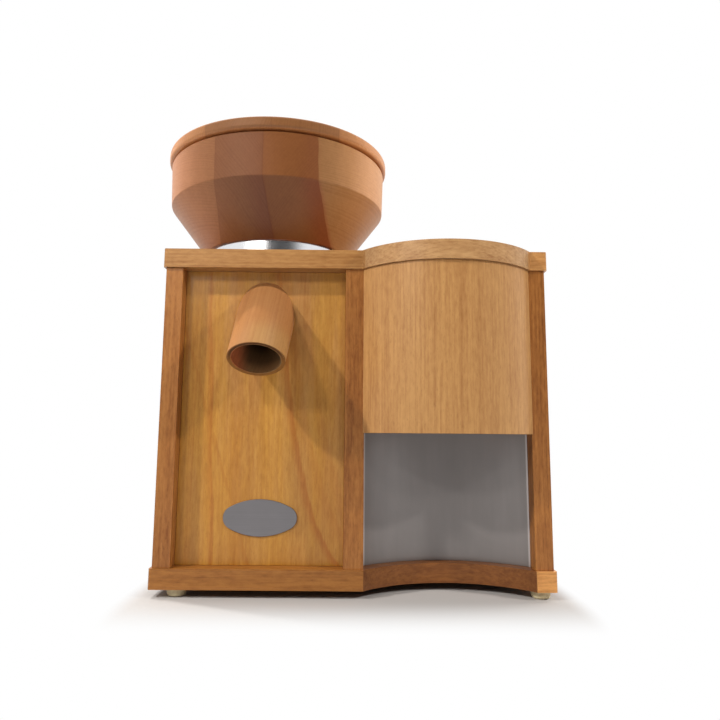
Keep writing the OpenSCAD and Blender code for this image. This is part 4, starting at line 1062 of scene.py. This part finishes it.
@dataclass
class Hopper:
    """The turned hopper, its lid, and the collar that it turns on.

    Attributes:
        ease: Rounding of the turned edges, in metres.
        collar_ease: Rounding of the collar's edges, in metres.
    """

    ease: float = 0.0007
    collar_ease: float = 0.0003

    def build(self) -> None:
        """Makes the hopper, the lid and the collar."""
        bowl = GluedWood(
            light=(0.40, 0.175, 0.068), dark=(0.235, 0.085, 0.026), grain=Grain.ALONG_Y,
            heart=(0.9, 0.9), ring=0.0019, rings=0.20, wander=0.006, streaks=0.34, flecks=0.1,
            drift=0.30, end_shade=0.52, gloss=0.35, polish=0.42, middle=MILL_AXIS,
            joints=(-0.0425, 0.0168, 0.0590), slants=(0.0, 0.20, 0.20), waver=0.0010,
            tints=((1.16, 1.10, 1.08), (0.90, 0.79, 0.74), (0.98, 0.80, 0.54), (1.40, 1.55, 1.45)),
            turns=(0.62, -0.1, 0.9, -0.12), seams=(0.22, 0.30, 0.05),
            # under: painted shade on the cone below the crease.
            blush=(0.0, 0.50, 0.75), under=0.78,
        )
        Form("hopper").ease(self.ease, TURNED_EDGE).swap(bowl.material("hopper_beech"), "hopper")
        lid = GluedWood(
            light=(0.50, 0.235, 0.095), dark=(0.30, 0.115, 0.042), grain=Grain.ALONG_Y,
            heart=(0.6, 0.5), ring=0.0022, rings=0.22, wander=0.008, streaks=0.30, flecks=0.2,
            drift=0.30, end_shade=0.55, middle=MILL_AXIS,
            joints=(-0.052, 0.004, 0.058), slants=(0.0, 0.0, 0.0), waver=0.0006,
            tints=((1.10, 1.05, 0.95), (0.85, 0.80, 0.72), (0.85, 0.78, 0.66), (1.15, 1.10, 0.95)),
            turns=(-0.5, -0.75, -0.6, -0.9), seams=(0.12, 0.16, 0.12),
        )
        beech = lid.material("hopper_lid_beech")
        Form("hopper_lid").ease(self.ease, TURNED_EDGE).swap(beech, "hopper_lid")
        collar = Metal(
            colour=(0.80, 0.80, 0.82), roughness=0.22, spread=0.04, turned=True,
            lines=2400.0, relief=0.00001, mottle=0.06,
        )
        Form("collar").ease(self.collar_ease).swap(collar.material("collar_aluminium"))


@dataclass
class Grinder:
    """Stones, their carriers, and the chamber around them."""

    def build(self) -> None:
        """Dresses the grinding pieces."""
        dress("millstone", Millstone((0.62, 0.60, 0.56)), "upper_stone", "runner_stone")
        dress("holder_plastic", Moulded((0.74, 0.72, 0.66), 0.38), "stone_holder")
        dress("turned_aluminium", Metal((0.74, 0.74, 0.75), 0.34, turned=True), "runner_carrier")
        cast = Metal((0.66, 0.67, 0.68), 0.52, spread=0.16, lines=1400.0, relief=0.00012)
        dress("cast_aluminium", cast, "grinding_chamber", "upper_shield", "lower_shield")
        dress("seal_rubber", Moulded((0.035, 0.035, 0.037), 0.62, dust=0.1), "shaft_seal")


@dataclass
class MillMotor:
    """The motor under the grinding chamber."""

    def build(self) -> None:
        """Dresses the motor's pieces."""
        turned = Metal((0.58, 0.58, 0.60), 0.26, turned=True, lines=2600.0)
        dress("turned_steel", turned, "motor_shaft", "bearing_outer_rings", "bearing_inner_rings")
        ball = Metal((0.66, 0.66, 0.68), 0.10, spread=0.05, lines=900.0, relief=0.000005)
        dress("polished_steel", ball, "bearing_balls")
        layers = Metal(
            (0.34, 0.35, 0.37), 0.46, turned=True, lines=1900.0, relief=0.00008, mottle=0.25
        )
        dress("stator_steel", layers, "stator_core", "rotor")
        dress("copper_winding", Winding((0.62, 0.26, 0.10)), "stator_windings")
        dress("fan_plastic", Moulded((0.80, 0.78, 0.70), 0.40), "cooling_fan")
        tin = Metal((0.72, 0.73, 0.74), 0.30, brush=Grain.ALONG_Z)
        dress("capacitor_case", tin, "run_capacitor")
        zinc = Metal((0.62, 0.62, 0.60), 0.30, spread=0.14, lines=700.0, mottle=0.2)
        dress("zinc_plated_steel", zinc, "motor_bolts", "runner_nut", "collar_screws",
              "frame_screws")


@dataclass
class Flaker:
    """Rollers, gears and their frame, with the funnel above and the chute below.

    Attributes:
        lid_ease: Rounding of the feed lid's edges, in metres.
    """

    lid_ease: float = 0.0006

    def build(self) -> None:
        """Dresses the flaker's pieces."""
        roller = Metal((0.60, 0.60, 0.61), 0.28, brush=Grain.ALONG_X, lines=1700.0)
        dress("roller_steel", roller, "front_roller", "back_roller", "pinion_shaft")
        plate = Metal((0.58, 0.59, 0.60), 0.38, brush=Grain.ALONG_Y, lines=1500.0, mottle=0.16)
        dress("plate_steel", plate, "left_frame_plate", "right_frame_plate")
        bar = Metal((0.60, 0.60, 0.60), 0.30, brush=Grain.ALONG_X, lines=1500.0)
        dress("bar_steel", bar, "tie_bars")
        sheet = Metal((0.66, 0.66, 0.66), 0.30, brush=Grain.ALONG_Z, lines=1500.0)
        dress("funnel_steel", sheet, "feed_funnel", "flake_chute")
        bronze = Metal((0.62, 0.42, 0.20), 0.34, lines=1500.0, mottle=0.2)
        dress("bush_bronze", bronze, "roller_bushes", "front_gear", "back_gear")
        dress("gear_nylon", Moulded((0.80, 0.77, 0.68), 0.42), "drive_gear")
        enamel = Moulded((0.085, 0.092, 0.10), 0.36, texture=700.0, relief=0.00006)
        dress("gearmotor_enamel", enamel, "flaker_gearmotor")
        lid = Wood((0.52, 0.255, 0.105), (0.32, 0.130, 0.048), shift=(0.5, 0.2, 0.9))
        beech = lid.material("feed_lid_beech")
        Form("feed_lid").ease(self.lid_ease, TURNED_EDGE).swap(beech, "feed_lid")


@dataclass
class Fittings:
    """Feet, switches, cord gland and the screws of the case.

    Attributes:
        screw_ease: Rounding of the screws' edges, in metres.
        screw_sharp: Angle from which an edge of a screw stays sharp, in degrees.
    """

    screw_ease: float = 0.00018
    screw_sharp: float = 30.0

    def build(self) -> None:
        """Dresses the fittings and gives the screws their cross recesses."""
        foot = Moulded((0.66, 0.56, 0.34), 0.58, texture=1600.0, dust=0.12)
        dress("foot_rubber", foot, "feet")
        black = Moulded((0.022, 0.022, 0.024), 0.36, dust=0.05)
        dress("switch_black", black, "mill_switch_frame", "flaker_switch_frame", "cord_gland")
        rocker = Moulded((0.030, 0.030, 0.032), 0.26, texture=1800.0, dust=0.04)
        dress("rocker_black", rocker, "mill_rocker", "flaker_rocker")
        brass = Metal((0.58, 0.45, 0.20), 0.33, spread=0.14, lines=700.0, mottle=0.2)
        yellow = brass.material("yellow_zinc")
        for node, facing in {"base_screws": (0, 0, -1), "panel_screws": (0, 1, 0)}.items():
            form = Form(node).ease(self.screw_ease).recess(Vector(facing))
            form.swap(yellow, sharp=self.screw_sharp)


# ---- studio


@dataclass(frozen=True)
class Lamp:
    """A soft box.

    Attributes:
        name: Name of the lamp.
        towards: Direction from the mill to the lamp.
        distance: Distance from its aim, in metres.
        size: Width and height, in metres.
        power: Power, in watts.
        aim: The place that it faces.
        glint: Whether it is only a reflection in shiny surfaces.
        colour: Colour of its light.
    """

    name: str
    towards: Point
    distance: float
    size: float
    power: float
    aim: Point = (-0.062, -0.098, 0.174)
    glint: bool = False
    colour: Colour = (1.0, 0.97, 0.93)


BAY_AIM = (0.08, -0.03, 0.09)
HOPPER_AIM = (-0.062, 0.019, 0.32)
LAMPS = (
    Lamp("left_box", (-0.60, -1.0, 0.675), 0.857, 0.06, 2.1),
    Lamp("left_sheen", (-0.60, -1.0, 0.675), 0.857, 0.45, 2.1, glint=True),
    Lamp("right_box", (0.45, -1.0, 0.70), 1.964, 0.10, 5.0),
    Lamp("left_high", (-1.75, -1.0, 1.53), 1.6, 0.06, 14.5, BAY_AIM),
    Lamp("right_high", (2.1, -1.0, 1.62), 1.6, 0.06, 13.5, BAY_AIM),
    Lamp("back_box", (-0.60, 0.30, 1.0), 1.4, 0.07, 12.5),
    Lamp("left_side", (-1.0, 0.35, 0.35), 1.2, 0.5, 2.2, HOPPER_AIM),
    Lamp("right_side", (1.0, 0.30, 0.35), 1.2, 0.5, 6.5, HOPPER_AIM),
)


@dataclass
class Studio:
    """Pale floor, soft lamps and the camera.

    Attributes:
        lens: Focal length for a 36 mm wide view, in millimetres.
        eye: Place of the camera.
        pitch: How far the camera looks up, in radians.
        yaw: How far it looks to the right, in radians.
        roll: How far it leans, in radians.
        shift: Move of the view, as shares of its width.
        room_level: Light from the front.
        backdrop_level: Light from the backdrop behind and beside the mill.
        dim_mirror: Brightness of the room's front in shiny surfaces.
        paper: Colour of the floor.
        foot_middle: Middle of the floor's shaded area, in X and Y.
        foot_half: Half its width and half its depth, in metres.
        fade: Distance over which the floor turns white in front and behind, in metres.
        side_fade: How much faster it does so beside the mill.
    """

    lens: float = 31.685
    eye: Point = (0.00537, -0.555423, 0.120837)
    pitch: float = 0.13835
    yaw: float = 0.00498
    roll: float = 0.00868
    shift: tuple[float, float] = (0.01114, -0.01912)
    room_level: float = 0.13
    backdrop_level: float = 1.45
    dim_mirror: float = 0.07
    paper: Colour = (0.45, 0.435, 0.425)
    foot_middle: tuple[float, float] = (0.0101, 0.0191)
    foot_half: tuple[float, float] = (0.152, 0.086)
    fade: float = 0.085
    side_fade: float = 4.0

    def camera(self) -> None:
        """Sets up the camera."""
        data = bpy.data.cameras.new("view")
        data.sensor_width = 36.0
        data.sensor_fit = "HORIZONTAL"
        data.lens = self.lens
        data.shift_x, data.shift_y = self.shift
        data.clip_start = 0.01
        turn = (
            Matrix.Rotation(-self.yaw, 4, "Z")
            @ Matrix.Rotation(math.radians(90.0) + self.pitch, 4, "X")
            @ Matrix.Rotation(self.roll, 4, "Z")
        )
        made = bpy.data.objects.new("view", data)
        made.matrix_world = Matrix.Translation(self.eye) @ turn
        bpy.context.scene.collection.objects.link(made)
        bpy.context.scene.camera = made

    def lamp(self, lamp: Lamp) -> None:
        """Adds a soft box."""
        data = bpy.data.lights.new(lamp.name, "AREA")
        data.shape = "RECTANGLE"
        data.size = data.size_y = lamp.size
        data.energy = lamp.power
        data.color = lamp.colour
        made = bpy.data.objects.new(lamp.name, data)
        made.visible_glossy = lamp.glint
        made.visible_diffuse = not lamp.glint
        towards = Vector(lamp.towards).normalized()
        spot = Vector(lamp.aim) + towards * lamp.distance
        turn = (-towards).to_track_quat("-Z", "Y")
        made.matrix_world = Matrix.Translation(spot) @ turn.to_matrix().to_4x4()
        bpy.context.scene.collection.objects.link(made)

    def floor(self) -> None:
        """Lays the pale floor, which fades to white away from the mill."""
        form = bmesh.new()
        bmesh.ops.create_grid(form, x_segments=8, y_segments=8, size=6.0)
        data = bpy.data.meshes.new("floor")
        form.to_mesh(data)
        form.free()
        made = bpy.data.objects.new("floor", data)
        bpy.context.scene.collection.objects.link(made)
        material = bpy.data.materials.new("floor_paper")
        graph = Graph(material)
        tone = 1.0 - (graph.noise(graph.here, 3.0, 0.6, 300.0) - 0.5) * 0.01
        paper = graph.add("ShaderNodeBsdfDiffuse", None, {
            "Color": graph.shade(graph.vector(*self.paper), tone),
        })
        glow = graph.add("ShaderNodeEmission", None, {"Color": (*WHITE, 1.0), "Strength": 1.0})
        x, y, _ = graph.split(graph.here)
        beside = ((x - self.foot_middle[0]).size() - self.foot_half[0]).most(0.0) * self.side_fade
        before = ((y - self.foot_middle[1]).size() - self.foot_half[1]).most(0.0)
        reach = (beside * beside + before * before).root()
        seen = graph.ray("Is Camera Ray").most(graph.ray("Is Glossy Ray"))
        fade = reach.ramp(0.0, self.fade) * seen
        graph.close(graph.add("ShaderNodeMixShader", None, {0: fade, 1: paper, 2: glow}))
        data.materials.append(material)

    def sky(self) -> None:
        """Sets the surrounding light: a white backdrop behind, a dim room in front."""
        world = bpy.data.worlds.new("studio")
        bpy.context.scene.world = world
        graph = Graph(world, "ShaderNodeOutputWorld")
        _, ahead, _ = graph.split(graph.around)
        room = ahead.ramp(-0.20, 0.55, self.room_level, self.backdrop_level)
        mirror = ahead.ramp(-0.88, -0.58, self.dim_mirror, 1.0)
        level = graph.mix("FLOAT", graph.ray("Is Glossy Ray"), room, mirror)
        level = graph.mix("FLOAT", graph.ray("Is Camera Ray"), level, 1.0)
        inputs = {"Color": (*WHITE, 1.0), "Strength": level}
        graph.close(graph.add("ShaderNodeBackground", None, inputs))

    def build(self) -> None:
        """Sets up the whole studio."""
        self.camera()
        self.floor()
        self.sky()
        for lamp in LAMPS:
            self.lamp(lamp)
        bpy.context.scene.view_settings.view_transform = "Standard"


def main() -> None:
    """Builds the mill's pieces in order."""
    logging.basicConfig(level=logging.INFO, format="%(message)s")
    parts = (
        Case(), FlakerFront(), Spout(), Badge(), Hopper(),
        Grinder(), MillMotor(), Flaker(), Fittings(), Studio(),
    )
    for part in parts:
        LOG.info("building %s", type(part).__name__)
        part.build()


if __name__ == "__main__":
    main()
